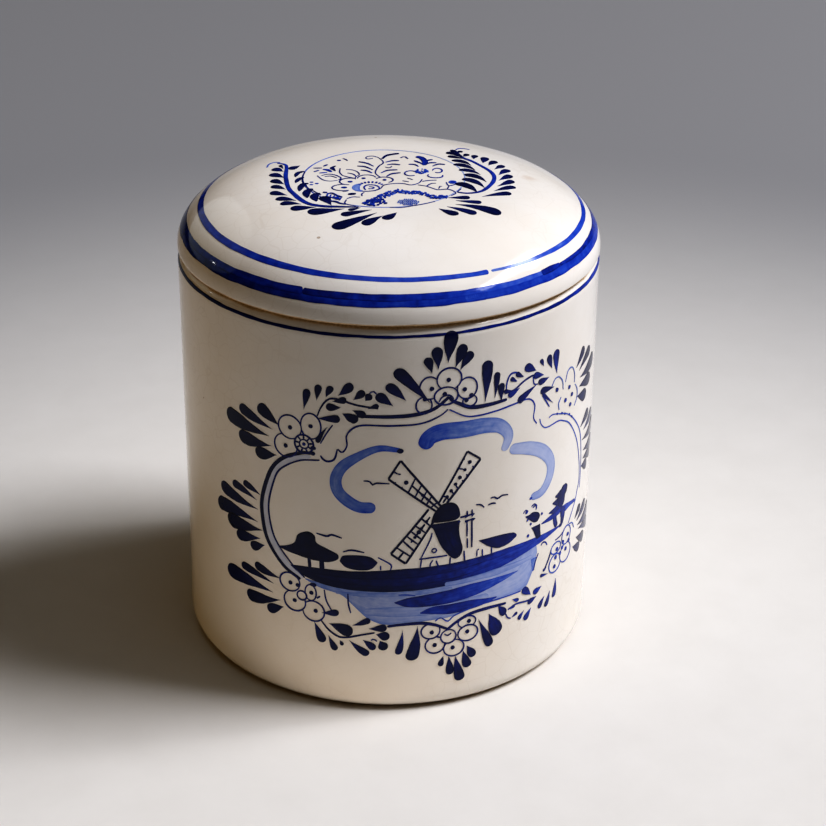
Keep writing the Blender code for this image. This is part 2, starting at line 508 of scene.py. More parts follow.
# --------------------------------------------------------------------------------------------------
# Brushwork: every mark is a grid of points in the painting's own millimetres, laid onto the ceramic as a film

LIFT = 0.030             # height of the first film above the glaze, mm
LAYER_LIFT = 0.010       # each later layer of paint above the one before, mm
MARK_LIFT = 0.0005       # each later mark above the one before, so crossing marks never share a plane, mm
PAINTING_LIFT = 0.0015   # each later painting on a piece above the one before, mm
SUNK = 0.020             # depth of the film's underside below the glaze, mm
SPACING = 0.5            # longest step between points along a mark, mm
WALL_CELL = 0.45         # longest step across a mark on the wall, mm
LID_CELL = 0.25          # the same on the lid, whose marks are finer, mm
WALL_SEED = 11           # random seeds of the first painting on the wall and on the lid
LID_SEED = 41

WASH, BROAD, SOLID, LINE, LEAF, DOT = range(6)


def smooth_path(points, step=0.25):
    """A dense curve through the points (Catmull-Rom), as an array with its running length."""
    points = np.array(points, float)
    if len(points) > 2:
        closed = np.allclose(points[0], points[-1])
        before = points[-2] if closed else 2 * points[0] - points[1]
        after = points[1] if closed else 2 * points[-1] - points[-2]
        knots = np.vstack([before, points, after])
        dense = [points[:1]]
        for a, b, c, d in zip(knots, knots[1:], knots[2:], knots[3:]):
            count = max(2, math.ceil(np.linalg.norm(c - b) / step))
            t = (np.arange(1, count + 1) / count)[:, None]
            dense.append(0.5 * (2 * b + (c - a) * t + (2 * a - 5 * b + 4 * c - d) * t ** 2
                                + (3 * b - a - 3 * c + d) * t ** 3))
        points = np.vstack(dense)
    else:
        t = np.linspace(0.0, 1.0, max(3, math.ceil(np.linalg.norm(points[1] - points[0]) / step)))[:, None]
        points = points[:1] + (points[1:] - points[:1]) * t
    length = np.concatenate([[0.0], np.cumsum(np.linalg.norm(np.diff(points, axis=0), axis=1))])
    return points, length


def sample(path, places):
    points, length = path
    return np.stack([np.interp(places, length, points[:, k]) for k in (0, 1)], -1)


class Painting:
    """One painted piece: collects brush marks, then builds their films as a single mesh on a surface."""

    def __init__(self, name, surface, body, material_slot, cell, seed, rise):
        self.name, self.surface, self.body, self.slot = name, surface, body, material_slot
        self.cell = cell         # longest step across a mark, mm
        self.rise = rise         # extra height, so that two paintings never share a plane, mm
        self.random = random.Random(seed)
        self.marks = []

    def wobble(self, along, size, wavelength):
        """A smooth random wave along a stroke."""
        total = np.zeros_like(along)
        for octave in (1.0, 2.3):
            phase = self.random.uniform(0, 2 * math.pi)
            total += np.sin(2 * math.pi * along * octave / wavelength + phase) * size / (1.0 + octave)
        return total

    def grid(self, middle, side, half, along, load, layer):
        """Adds a mark from its middle line, the unit direction across it and its half width at each step."""
        count = max(3, 1 + 2 * math.ceil(np.max(half) / self.cell))
        across = np.linspace(-1.0, 1.0, count)
        points = middle[:, None] + side[:, None] * (half[:, None] * across)[..., None]
        self.marks.append((points, along[:, None] + 0 * across, half[:, None] * across,
                           np.abs(across) + 0 * along[:, None], load[:, None] + 0 * across, layer))

    def stroke(self, points, widths, load, layer=BROAD, ragged=0.04, caps=True):
        """A brush stroke. widths and load are single values, or lists spread along the stroke."""
        path = smooth_path(points)
        total = path[1][-1]
        widths, load = np.atleast_1d(widths).astype(float), np.atleast_1d(load).astype(float)
        start, end = widths[0] / 2, widths[-1] / 2
        places = list(np.linspace(0.0, total, max(4, math.ceil(total / SPACING))))
        if caps:
            shares = (0.04, 0.14, 0.30, 0.55, 0.8)
            places += [start * s for s in shares] + [total - end * s for s in shares]
        places = np.unique(np.round(np.clip(places, 0.0, total), 3))
        middle = sample(path, places)
        reach = min(0.15, total / 8)
        run = sample(path, np.minimum(places + reach, total)) - sample(path, np.maximum(places - reach, 0.0))
        run /= np.linalg.norm(run, axis=1, keepdims=True)
        side = np.stack([-run[:, 1], run[:, 0]], -1)
        share = places / total
        half = np.interp(share, np.linspace(0, 1, len(widths)), widths) / 2
        wavelength = 6.0 + 7.0 * widths.mean()
        half = half + self.wobble(places, ragged, wavelength)
        middle = middle + side * self.wobble(places, ragged, wavelength * 1.3)[:, None]
        if caps:
            for gap, reach in ((places, start), (total - places, end)):
                reach = max(min(reach, total / 2), 1e-3)
                half = half * np.sqrt(1.0 - np.clip(1.0 - gap / reach, 0.0, 1.0) ** 2)
        tone = np.interp(share, np.linspace(0, 1, len(load)), load)
        self.grid(middle, side, np.maximum(half, 0.02), places, tone, layer)

    def line(self, points, width=0.42, load=0.62, layer=LINE, ends=0.75):
        """A thin drawn line, a little narrower towards both ends."""
        width *= self.random.uniform(0.92, 1.08)
        self.stroke(points, [width * ends, width, width, width * ends], np.asarray(load) + 0.06, layer, 0.022)

    def leaf(self, u, v, tip_u, tip_v, width, load=0.80, layer=LEAF, bend=None):
        """A pressed brush leaf: pointed where the brush left, and round where it was pressed down."""
        base, tip = np.array((u, v), float), np.array((tip_u, tip_v), float)
        total = np.linalg.norm(tip - base)
        run = (tip - base) / total
        side = np.array((-run[1], run[0]))
        bend = self.random.uniform(-0.04, 0.04) * total if bend is None else bend
        half_width = min(width, total * 0.85) / 2 * self.random.uniform(0.95, 1.05)
        cap = half_width / total
        shares = (1.0 - np.cos(np.linspace(0.0, math.pi, max(14, math.ceil(total / SPACING) + 6)))) / 2
        middle = base + run * (shares * total)[:, None] + side * (4 * bend * shares * (1 - shares))[:, None]
        body = np.sin(math.pi / 2 * np.clip(shares / (1.0 - cap), 0, 1) ** 1.25)
        round_end = np.sqrt(1.0 - np.clip((shares - (1.0 - cap)) / cap, 0.0, 1.0) ** 2)
        half = np.maximum(half_width * body * round_end, 0.02)
        half = half * (1.0 + self.wobble(shares * total, 0.05, 5.0))
        tone = load + np.linspace(-0.10, 0.04, len(shares)) + self.random.uniform(-0.04, 0.04)
        self.grid(middle, side + 0 * middle, half, shares * total, tone, layer)

    def leaves(self, rows, load=0.80, layer=LEAF):
        for row in rows:
            self.leaf(*row, load=load, layer=layer)

    def dab(self, u, v, radius, tall=None, load=0.78, layer=DOT, turn=0.0):
        """A filled round or oval touch of the brush."""
        tall = radius if tall is None else tall
        turn = math.radians(turn)
        run, side = np.array((math.cos(turn), math.sin(turn))), np.array((-math.sin(turn), math.cos(turn)))
        place = -np.cos(np.linspace(0.0, math.pi, 11))
        place[0], place[-1] = -0.998, 0.998
        half = tall * np.sqrt(1.0 - place ** 2) * (1.0 + self.wobble(place * radius, 0.12, radius * 4))
        middle = np.array((u, v)) + run * (place * radius)[:, None]
        self.grid(middle, side + 0 * middle, half, place * radius, load + 0 * place, layer)

    def ring(self, u, v, radius, tall=None, width=0.42, start=0.0, sweep=360.0, load=0.62, turn=0.0,
             layer=LINE):
        """A drawn loop, from start through sweep degrees; a full one overlaps itself like a hand's."""
        tall = radius if tall is None else tall
        start = start + (self.random.uniform(0, 360) if sweep >= 360 else 0)
        angles = np.radians(np.linspace(start, start + sweep + (8 if sweep >= 360 else 0), 25))
        turn = math.radians(turn)
        x, y = radius * np.cos(angles), tall * np.sin(angles)
        points = np.stack([u + x * math.cos(turn) - y * math.sin(turn),
                           v + x * math.sin(turn) + y * math.cos(turn)], -1)
        self.line(points, width, load, layer)

    def lobes(self, loops, width=0.42, load=0.62):
        """Overlapping loops, each (u, v, half width, half height). Later loops pass behind earlier ones."""
        angles = np.radians(np.arange(0, 360, 6.0))
        for k, (u, v, radius, tall) in enumerate(loops):
            x, y = u + radius * np.cos(angles), v + tall * np.sin(angles)
            hidden = np.zeros(len(angles), bool)
            for front_u, front_v, front_radius, front_tall in loops[:k]:
                hidden |= ((x - front_u) / front_radius) ** 2 + ((y - front_v) / front_tall) ** 2 < 0.97
            if not hidden.any():
                self.ring(u, v, radius, tall, width, load=load)
                continue
            first = int(np.argmax(hidden))
            order = [(first + step) % len(angles) for step in range(len(angles) + 1)]
            run = []
            for index in order:
                if hidden[index]:
                    if len(run) > 3:
                        self.line([(x[j], y[j]) for j in run[::3] + run[-1:]], width, load)
                    run = []
                else:
                    run.append(index)

    def fill(self, upper, lower, load, layer=SOLID, ragged=0.03):
        """A filled shape between two outlines that run the same way."""
        upper, lower = smooth_path(upper), smooth_path(lower)
        total = max(upper[1][-1], lower[1][-1])
        share = np.linspace(0.0, 1.0, max(6, math.ceil(total / SPACING)))
        top, bottom = sample(upper, share * upper[1][-1]), sample(lower, share * lower[1][-1])
        middle, gap = (top + bottom) / 2, top - bottom
        half = np.maximum(np.linalg.norm(gap, axis=1) / 2, 0.02)
        side = gap / np.maximum(np.linalg.norm(gap, axis=1, keepdims=True), 1e-6)
        side[np.linalg.norm(gap, axis=1) < 0.02] = (0.0, 1.0)
        middle = middle + side * self.wobble(share * total, ragged, 9.0)[:, None]
        load = np.atleast_1d(load).astype(float)
        tone = np.interp(share, np.linspace(0, 1, len(load)), load)
        self.grid(middle, side, half, share * total, tone, layer)

    def build(self, material):
        """Makes the closed films: a top sheet above the glaze, an underside inside it, and an edge between."""
        places, normals, stroke, tone, faces = [], [], [], [], []
        first = 0
        for number, (points, along, across, edge, load, layer) in enumerate(self.marks):
            rows, columns = along.shape
            u, v = points[..., 0].ravel() * MM, points[..., 1].ravel() * MM
            base, normal = self.surface(u, v), surface_normal(self.surface, u, v)
            lift = (LIFT + LAYER_LIFT * layer + MARK_LIFT * number + self.rise) * MM
            places += [base + normal * lift, base - normal * SUNK * MM]
            normals += [normal, normal]
            seed = self.random.uniform(0, 100)
            stroke += [np.stack([along.ravel() + 7 * seed, across.ravel(), seed + 0 * u], -1)] * 2
            tone += [np.stack([np.clip(load.ravel(), 0, 1), edge.ravel(), 0 * u], -1)] * 2
            corner = (np.arange(rows - 1)[:, None] * columns + np.arange(columns - 1)).ravel()
            cells = np.stack([corner, corner + columns, corner + columns + 1, corner + 1], -1)
            last = (rows - 1) * columns
            border = (list(range(columns)) + [columns * r - 1 for r in range(2, rows + 1)]
                      + list(range(last + columns - 2, last - 1, -1)) + [columns * r for r in range(rows - 2,
                                                            0, -1)])
            run = points[rows // 2, 0] - points[rows // 2 - 1, 0]
            side = points[rows // 2, -1] - points[rows // 2, 0]
            if run[0] * side[1] < run[1] * side[0]:
                cells, border = cells[:, ::-1], border[::-1]
            top, under = first, first + rows * columns
            faces += (cells + top).tolist() + (cells[:, ::-1] + under).tolist()
            faces += [(a + top, b + top, b + under, a + under) for a,
                      b in zip(border, border[1:] + border[:1])]
            first += 2 * rows * columns
        mesh = bpy.data.meshes.new(self.name)
        mesh.from_pydata(np.concatenate(places).tolist(), [], faces)
        mesh.shade_smooth()
        for name, values in (("stroke", stroke), ("tone", tone)):
            layer = mesh.attributes.new(name, "FLOAT_VECTOR", "POINT")
            layer.data.foreach_set("vector", np.concatenate(values).astype(np.float32).ravel())
        mesh.materials.append(material)
        mesh.update()
        mesh.normals_split_custom_set_from_vertices(np.concatenate(normals).tolist())
        piece = bpy.data.objects.new(self.name, mesh)
        bpy.context.scene.collection.objects.link(piece)
        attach(piece, self.body)
        return piece


# --------------------------------------------------------------------------------------------------
# The wall's picture: a scalloped cartouche round a windmill by the water, with flowers and sprays outside it.
# Leaf rows are (foot u, foot v, tip u, tip v, width).

def paint_cartouche(p):
    inner_side = [(-37.0, 36.7), (-41.0, 40.3), (-45.2, 45.7), (-46.7, 51.0), (-46.8, 55.7), (-45.3, 61.5),
                  (-43.3, 65.5), (-38.2, 69.1), (-32.7, 70.3)]
    outer_side = [(-38.2, 36.0), (-43.2, 39.0), (-47.5, 44.8), (-48.9, 51.0), (-48.9, 55.7), (-47.3, 61.5),
                  (-45.0, 66.2), (-41.5, 69.5), (-37.3, 71.4), (-34.6, 71.8)]
    between = (np.array(inner_side) + np.array(outer_side[:-1])) / 2
    p.stroke(between, [1.0, 1.9, 1.9, 1.9, 1.6, 0.8], 0.05, WASH)
    p.line(inner_side, 0.50, 0.66)
    p.line(outer_side, 1.05, 0.80)
    p.line([(-32.5, 71.6), (-31.7, 70.6), (-30.5, 70.3), (-29.0, 71.2), (-28.3, 73.9)], 0.50)
    p.line([(-28.2, 73.9), (-27.1, 73.2), (-26.0, 75.0), (-26.0, 77.8), (-24.3, 80.0), (-21.5, 80.9),
            (-15.6, 80.9), (-8.5, 81.3), (-4.0, 82.9), (-2.0, 84.4)], 0.46)
    p.line([(-23.7, 83.2), (-15.2, 83.3), (-9.7, 83.7), (-5.2, 85.0), (-1.8, 87.7)], 1.0, 0.72)
    p.line([(-1.8, 87.7), (-1.0, 86.6), (0.8, 85.5), (3.8, 84.1), (8.0, 83.8), (13.5, 84.0)], 0.95, 0.70)
    p.line([(-1.7, 84.3), (2.3, 82.0), (5.7, 81.5), (11.0, 81.7), (16.5, 82.2), (20.3, 82.1), (22.3, 79.9),
            (22.1, 76.5), (23.3, 74.5)], 0.40, 0.50)
    p.line([(24.3, 75.4), (24.8, 73.9), (26.2, 72.4), (27.8, 72.0), (29.4, 72.0), (31.6, 72.0), (33.8, 71.3),
            (37.8, 68.7), (42.4, 62.2), (44.9, 55.2), (45.6, 49.6), (44.4, 46.4)], 0.34, 0.40)
    p.line([(27.8, 74.4), (29.4, 74.7), (32.5, 73.7), (36.4, 72.0), (40.6, 68.5), (44.6, 63.3), (46.2, 57.0),
            (46.6, 50.0), (46.1, 46.6)], 0.34, 0.40)
    for u, v in ((31.2, 74.2), (33.4, 73.5), (34.8, 72.8), (37.2, 71.6), (38.6, 70.4)):
        p.dab(u, v, 0.44, 0.30, load=0.56, turn=-30)
    p.line([(44.5, 46.8), (43.4, 44.3), (41.0, 41.4), (39.4, 39.4)], 0.32, 0.42)
    p.line([(37.4, 38.6), (35.3, 37.8), (32.9, 37.6)], 0.42, 0.56)
    p.line([(26.8, 38.8), (27.5, 39.4), (28.6, 39.0), (29.3, 37.9)], 0.44, 0.56)
    p.line([(25.9, 37.0), (24.9, 35.0), (24.3, 32.6)], 0.46, 0.56)
    p.line([(31.3, 35.8), (30.2, 33.3), (28.6, 30.9)], 0.60, 0.66)
    p.line([(-16.2, 25.2), (-12.7, 25.7), (-8.0, 25.8), (-4.5, 25.0), (-1.0, 23.2)], 0.9, 0.68)
    p.line([(-1.0, 23.2), (1.5, 25.0), (5.2, 26.5), (10.0, 26.8), (15.3, 26.5)], 0.8, 0.64)
    p.line([(-4.3, 26.0), (-2.9, 26.8), (-1.0, 25.5), (0.6, 26.8), (4.5, 28.0), (9.4, 28.5), (20.0, 28.3)],
           0.40, 0.45)
    p.line([(-31.9, 34.4), (-31.4, 31.3), (-30.0, 28.6)], 0.40)
    p.line([(-25.9, 34.2), (-25.8, 31.2), (-25.2, 28.6)], 0.40)


def paint_sail(p, left, right, spar, rungs, ticks, dots):
    """A lattice sail between its left and right edges, drawn from the hub out; shares run the same way."""
    left, right = np.array(left, float), np.array(right, float)

    def at(along, across):
        on_left = left[0] + (left[1] - left[0]) * along
        on_right = right[0] + (right[1] - right[0]) * along
        return on_left * (1 - across) + on_right * across

    for start, end in ((left[0], left[1]), (left[1], right[1]), (right[1], right[0])):
        p.line([start, end], 0.56, 0.82, ends=1.0)
    for start, end in spar:
        p.line([at(start, 0.5), at(end, 0.5)], 0.50, 0.78)
    for low, high in rungs:
        p.line([at(low, 0.0), at(high, 1.0)], 0.46, 0.74)
    for along, across, end_along, end_across in ticks:
        p.line([at(along, across), at(end_along, end_across)], 0.40, 0.70)
    for along, across, size in dots:
        p.dab(*at(along, across), size, load=0.84)


def paint_windmill(p):
    paint_sail(p, ((-4.5, 57.2), (-16.1, 66.7)), ((-3.2, 58.3), (-13.2, 71.6)), ((0.0, 0.62),),
               ((0.12, 0.10), (0.21, 0.24), (0.32, 0.36), (0.45, 0.49), (0.59, 0.64)),
               ((0.73, 0.0, 0.73, 0.10), (0.87, 0.0, 0.87, 0.09), (1.0, 0.42, 0.92, 0.46),
                (0.92, 0.46, 0.87, 0.55)),
               ((0.72, 0.42, 0.55), (0.48, 0.5, 0.36), (0.37, 0.5, 0.42), (0.27, 0.5, 0.36)))
    paint_sail(p, ((-3.8, 59.5), (3.1, 72.4)), ((-1.9, 59.1), (6.6, 69.7)), ((0.0, 0.10),), (),
               ((0.80, 1.0, 0.82, 0.82), (0.62, 1.0, 0.64, 0.80), (0.49, 1.0, 0.51, 0.80),
                (0.33, 1.0, 0.39, 0.52), (0.21, 1.0, 0.26, 0.52), (0.07, 1.0, 0.12, 0.52),
                (0.67, 0.0, 0.70, 0.40), (0.13, 0.0, 0.13, 0.40)),
               ((0.86, 0.5, 0.50), (0.70, 0.5, 0.42), (0.54, 0.5, 0.50), (0.40, 0.5, 0.44), (0.26, 0.5, 0.44),
                (0.13, 0.5, 0.46), (0.86, 0.02, 0.30)))
    paint_sail(p, ((-6.3, 58.0), (-15.4, 46.0)), ((-5.0, 54.6), (-11.8, 43.2)),
               ((0.04, 0.13), (0.20, 0.30), (0.36, 0.50), (0.84, 1.0)),
               ((0.20, 0.12), (0.36, 0.28), (0.48, 0.43), (0.59, 0.55), (0.69, 0.70), (0.85, 0.83)),
               ((0.56, 0.5, 0.62, 0.5),), ((0.14, 0.5, 0.36), (0.38, 0.5, 0.55), (0.30, 0.5, 0.40),
                                           (0.50, 0.5, 0.40)))
    p.fill([(-5.6, 54.5), (-5.0, 56.6), (-3.5, 58.5), (-1.9, 59.2), (-0.3, 59.0), (0.8, 58.1), (1.4, 56.7),
            (1.6, 55.4)],
           [(-5.6, 54.2), (-4.3, 54.05), (-3.0, 54.0), (-2.0, 54.0), (-1.0, 54.0), (0.0, 54.1), (0.8, 54.3),
            (1.5, 54.9)],
           [0.94, 0.88], ragged=0.02)
    p.fill([(-5.7, 53.6), (-4.4, 50.5), (-3.3, 47.7), (-1.7, 45.2), (-0.5, 43.8), (0.6, 43.2), (1.6, 43.6)],
           [(1.5, 53.9), (1.4, 51.6), (1.6, 49.6), (2.0, 47.8), (2.4, 46.2), (2.3, 44.9), (1.8, 43.8)],
           [0.86, 0.80, 0.84], ragged=0.02)
    p.fill([(-5.7, 53.7), (-3.5, 53.65), (-1.0, 53.65), (1.5, 53.9)],
           [(-5.6, 52.7), (-3.5, 52.0), (-1.0, 52.0), (1.4, 52.6)], 0.84, ragged=0.01)
    house = (
        [(-5.4, 51.3), (-5.8, 49.6), (-8.1, 44.4)], [(-8.5, 44.2), (-5.1, 44.4), (-1.5, 44.5)],
        [(-7.9, 44.2), (-8.2, 41.8)], [(-5.8, 41.7), (-5.7, 42.7), (-5.1, 43.6)],
        [(-4.3, 43.4), (-3.7, 41.6)], [(-0.7, 43.8), (-0.8, 42.0)], [(2.8, 45.0), (3.1, 41.9)],
        [(6.3, 44.2), (6.3, 42.6)], [(6.3, 44.3), (6.9, 44.6)], [(7.8, 44.3), (7.9, 42.3)],
        [(10.4, 44.2), (10.5, 42.2)],
    )
    for points in house:
        p.line(points, 0.36, 0.60)
    p.ring(-4.8, 46.3, 0.60, width=0.34)
    pole = (
        [(3.4, 56.1), (3.5, 54.4)], [(3.4, 53.3), (3.5, 51.4), (3.5, 48.9)], [(3.6, 48.4), (3.7, 45.6)],
        [(4.7, 56.2), (4.8, 54.2)], [(4.7, 53.6), (4.8, 49.5), (4.9, 45.6)],
        [(1.6, 54.6), (3.0, 54.7)], [(3.0, 54.7), (5.4, 54.9)], [(1.0, 53.5), (1.7, 53.4)],
        [(3.0, 53.3), (5.6, 53.5)],
    )
    for points in pole:
        p.line(points, 0.42, 0.66)
    for u, v in ((3.1, 54.6), (4.8, 54.8), (3.3, 53.2), (4.9, 53.4)):
        p.dab(u, v, 0.45, 0.36, load=0.72)


def paint_sky(p):
    p.stroke([(-13.1, 74.3), (-18.5, 74.8), (-23.9, 72.0), (-27.4, 69.0), (-28.8, 65.4), (-27.7, 61.9),
              (-23.5, 58.9), (-19.1, 58.8)], [1.1, 1.8, 2.6, 2.9, 3.1, 3.0], [0.44, 0.34, 0.32, 0.34, 0.42],
             BROAD, 0.06)
    p.dab(-13.3, 74.2, 0.80, 0.60, load=0.82)
    p.stroke([(-7.6, 74.4), (-6.6, 77.2), (-3.5, 78.6), (2.3, 78.5), (7.5, 78.4), (11.8, 77.2), (14.3, 74.0),
              (13.0, 70.2)], [3.4, 4.4, 4.4, 4.3, 4.0, 3.0, 1.9], [0.48, 0.40, 0.34, 0.28, 0.22, 0.13], BROAD,
             0.07)
    p.stroke([(14.8, 70.2), (20.7, 68.7), (25.8, 66.0), (29.2, 62.0), (29.2, 57.9), (26.4, 54.6),
              (22.3, 54.4)],
             [2.6, 3.6, 3.6, 3.2, 2.8, 2.0], [0.16, 0.15, 0.16, 0.16, 0.17, 0.24], BROAD, 0.07)
    p.dab(22.3, 54.1, 0.45, 0.38, load=0.50)
    birds = (
        [(-22.0, 66.0), (-20.6, 65.9), (-19.8, 65.0), (-18.9, 65.5), (-15.8, 65.4)],
        [(-33.8, 50.1), (-31.1, 49.7), (-29.8, 50.3), (-27.3, 49.7)],
        [(-27.1, 45.9), (-25.0, 46.6), (-21.8, 46.2)],
        [(5.7, 57.3), (7.1, 56.9), (8.0, 56.0)],
        [(9.0, 56.4), (10.2, 56.6), (11.3, 56.3)],
        [(9.7, 58.1), (10.7, 58.2), (11.7, 57.5), (13.0, 58.0), (14.8, 57.7)],
    )
    for place, points in enumerate(birds):
        p.line(points, 0.50 if place < 3 else 0.42, 0.68, ends=0.6)


def paint_landscape(p):
    # The land band and the dark stroke over it run from dark navy on the left to mid blue on the right. This
    # is partly the brushwork's own tone and partly painted shade, because the wall's left is its shaded side.
    p.fill([(-41.0, 39.5), (-34.8, 40.2), (-24.0, 40.7), (-13.5, 41.6), (-1.0, 42.0), (14.0, 42.5),
            (24.0, 42.1), (34.4, 41.3)],
           [(-40.4, 39.0), (-37.3, 37.3), (-30.7, 35.7), (-19.8, 35.2), (-5.2, 35.6), (9.4, 37.0),
            (21.5, 39.1), (34.4, 40.8)], [0.86, 0.84, 0.80, 0.74, 0.66, 0.58, 0.54, 0.56], BROAD)
    p.stroke([(-38.5, 38.6), (-20.0, 37.8), (-2.0, 38.6), (14.0, 40.3), (28.0, 41.3)],
             [0.3, 2.2, 2.6, 1.8, 0.3], [0.84, 0.78, 0.68, 0.58, 0.52], SOLID, 0.08)
    p.fill([(-44.0, 44.0), (-41.5, 44.9), (-39.6, 46.3), (-38.6, 48.8), (-35.9, 50.1), (-34.2, 49.2),
            (-33.8, 47.4), (-31.0, 46.2), (-28.4, 45.0), (-28.2, 43.9)],
           [(-43.9, 43.7), (-41.5, 43.1), (-39.0, 42.8), (-36.6, 42.5), (-34.8, 42.3), (-33.0, 42.3),
            (-31.1, 42.4), (-30.0, 42.7), (-28.9, 43.2), (-28.3, 43.7)], [0.84, 0.90, 0.86])
    p.stroke([(-35.8, 42.8), (-35.6, 40.0)], 0.85, 0.84, SOLID)
    p.stroke([(-32.5, 42.8), (-32.4, 39.8)], 1.2, 0.84, SOLID)
    p.fill([(-27.9, 43.4), (-27.0, 44.8), (-23.5, 45.3), (-20.4, 45.0), (-18.6, 43.6)],
           [(-27.8, 43.0), (-26.3, 41.6), (-23.0, 41.1), (-20.2, 41.6), (-18.7, 43.2)], [0.84, 0.78])
    p.fill([(6.7, 47.0), (10.2, 47.0), (14.0, 46.8), (17.0, 46.3), (18.0, 45.3)],
           [(6.9, 46.8), (9.6, 44.6), (12.3, 43.4), (15.4, 43.7), (17.8, 44.9)], [0.80, 0.68])
    for points in ([(-18.5, 45.0), (-15.4, 43.0), (-15.5, 41.4)], [(-17.9, 42.7), (-17.8, 41.4)],
                   [(22.6, 51.6), (23.7, 52.0), (24.6, 51.2)], [(19.9, 50.6), (20.6, 51.3), (21.6, 50.7)]):
        p.line(points, 0.36, 0.58)
    p.fill([(20.6, 49.5), (22.1, 49.5), (23.3, 49.8), (25.3, 49.0), (25.9, 47.8)],
           [(20.8, 49.2), (22.2, 47.9), (23.8, 46.7), (25.0, 46.6), (25.7, 47.4)], [0.72, 0.80])
    p.fill([(22.9, 45.5), (23.8, 44.0), (24.4, 42.6), (25.0, 41.4)],
           [(26.1, 45.4), (26.2, 43.8), (26.4, 42.6), (26.5, 41.7)], [0.76, 0.82])
    p.line([(23.1, 51.1), (24.1, 51.5), (24.5, 50.8), (24.2, 50.2)], 0.5, 0.6)
    for u, v, size in ((21.0, 50.6, 0.42), (21.8, 43.6, 0.42), (26.6, 48.1, 0.36), (22.6, 46.7, 0.34),
                       (21.4, 48.2, 0.30)):
        p.dab(u, v, size, load=0.6)
    tiers = (((36.9, 52.3), (36.3, 50.2), (34.9, 49.0), 2.6, 0.74),
             ((36.3, 50.6), (33.9, 50.4), (32.0, 50.6), 2.2, 0.74),
             ((36.2, 48.6), (33.9, 48.6), (30.9, 49.1), 2.4, 0.72),
             ((35.8, 46.6), (32.6, 46.7), (29.5, 46.9), 2.2, 0.66),
             ((34.8, 45.6), (31.0, 45.3), (26.6, 45.1), 1.6, 0.60))
    for root, middle, tip, width, load in tiers:
        p.stroke([root, middle, tip], [width, width, 0.3], load, SOLID, 0.05)
    p.stroke([(36.6, 52.2), (35.2, 49.8), (34.9, 46.4)], [1.6, 3.4, 3.2], [0.70, 0.76, 0.70], SOLID, 0.05)
    p.stroke([(35.0, 45.0), (38.6, 45.1), (41.2, 44.9), (43.1, 44.6)], [2.6, 2.0, 1.2, 0.9],
             [0.60, 0.52, 0.48, 0.62], BROAD, 0.05)
    p.stroke([(32.1, 45.4), (32.4, 43.4), (33.2, 41.6)], 1.5, [0.60, 0.70], SOLID)
    p.stroke([(35.6, 46.0), (36.0, 43.6), (35.6, 41.3), (34.4, 41.0)], [2.2, 2.2, 1.4, 0.8], [0.64, 0.72],
             SOLID)


def paint_water(p):
    p.fill([(-37.0, 36.6), (-30.7, 36.0), (-19.8, 35.5), (-5.2, 35.9), (9.4, 37.3), (18.6, 39.0),
            (25.0, 39.9)],
           [(-36.8, 36.3), (-33.0, 34.8), (-27.6, 33.6), (-24.6, 30.9), (-20.4, 27.0), (-15.5, 25.7),
            (-6.0, 26.4), (0.0, 26.7), (8.0, 28.3), (20.0, 28.4), (23.4, 31.5), (25.4, 37.5)],
           [0.32, 0.25, 0.21, 0.18, 0.19, 0.20],
           WASH)
    sweeps = ((-29.0, 0.0, 34.4, 1.2, 0.28), (-22.0, 10.0, 29.6, 3.4, 0.235), (-2.0, 23.5, 36.6, 1.8, 0.25))
    for start, end, height, width, load in sweeps:
        p.stroke([(start, height - 0.3), ((start + end) / 2, height), (end, height + 0.5)],
                 [width * 0.6, width, width * 0.7], [load + 0.02, load, load - 0.03], BROAD, 0.12)
    p.fill([(-14.5, 32.2), (-11.4, 33.3), (-7.0, 33.9), (-1.0, 34.5), (5.2, 35.1), (12.3, 35.0),
            (18.8, 34.8)],
           [(-14.3, 31.9), (-11.4, 30.8), (-6.2, 30.5), (-1.0, 30.7), (5.2, 31.4), (12.0, 32.9),
            (18.6, 34.6)],
           [0.66, 0.64, 0.56, 0.48, 0.40])
    p.fill([(-8.2, 28.9), (-5.2, 30.2), (-0.2, 30.4), (5.2, 30.4), (9.4, 29.8), (12.4, 29.4)],
           [(-8.0, 28.6), (-5.2, 28.2), (-1.0, 27.6), (4.0, 27.7), (9.4, 28.4), (12.2, 29.1)],
           [0.58, 0.62, 0.54])
    p.line([(-13.5, 34.3), (-11.4, 34.3), (-9.3, 33.9)], 0.34, 0.40)
    p.fill([(23.2, 36.2), (24.2, 36.3), (25.3, 36.1)], [(23.3, 35.6), (24.0, 32.3), (25.1, 35.6)], 0.34)


def flower(p, petals, dots, width=0.42, load=0.62):
    """Round petals, the front ones first, and dots on them."""
    p.lobes(petals, width, load)
    for u, v in dots:
        p.dab(u, v, 0.55, load=load + 0.16)


def hatched_eye(p, u, v, radius, load=0.66):
    """A flower's centre: a ring, a smaller ring and short ticks between them."""
    p.ring(u, v, radius, width=0.46, load=load)
    p.ring(u, v, radius * 0.50, width=0.42, load=load)
    for k in range(9):
        a = 2 * math.pi * (k + 0.3) / 9
        p.line([(u + radius * 0.55 * math.cos(a), v + radius * 0.55 * math.sin(a)),
                (u + radius * 0.95 * math.cos(a), v + radius * 0.95 * math.sin(a))], 0.42, load)
    p.dab(u, v, 0.45, load=load)


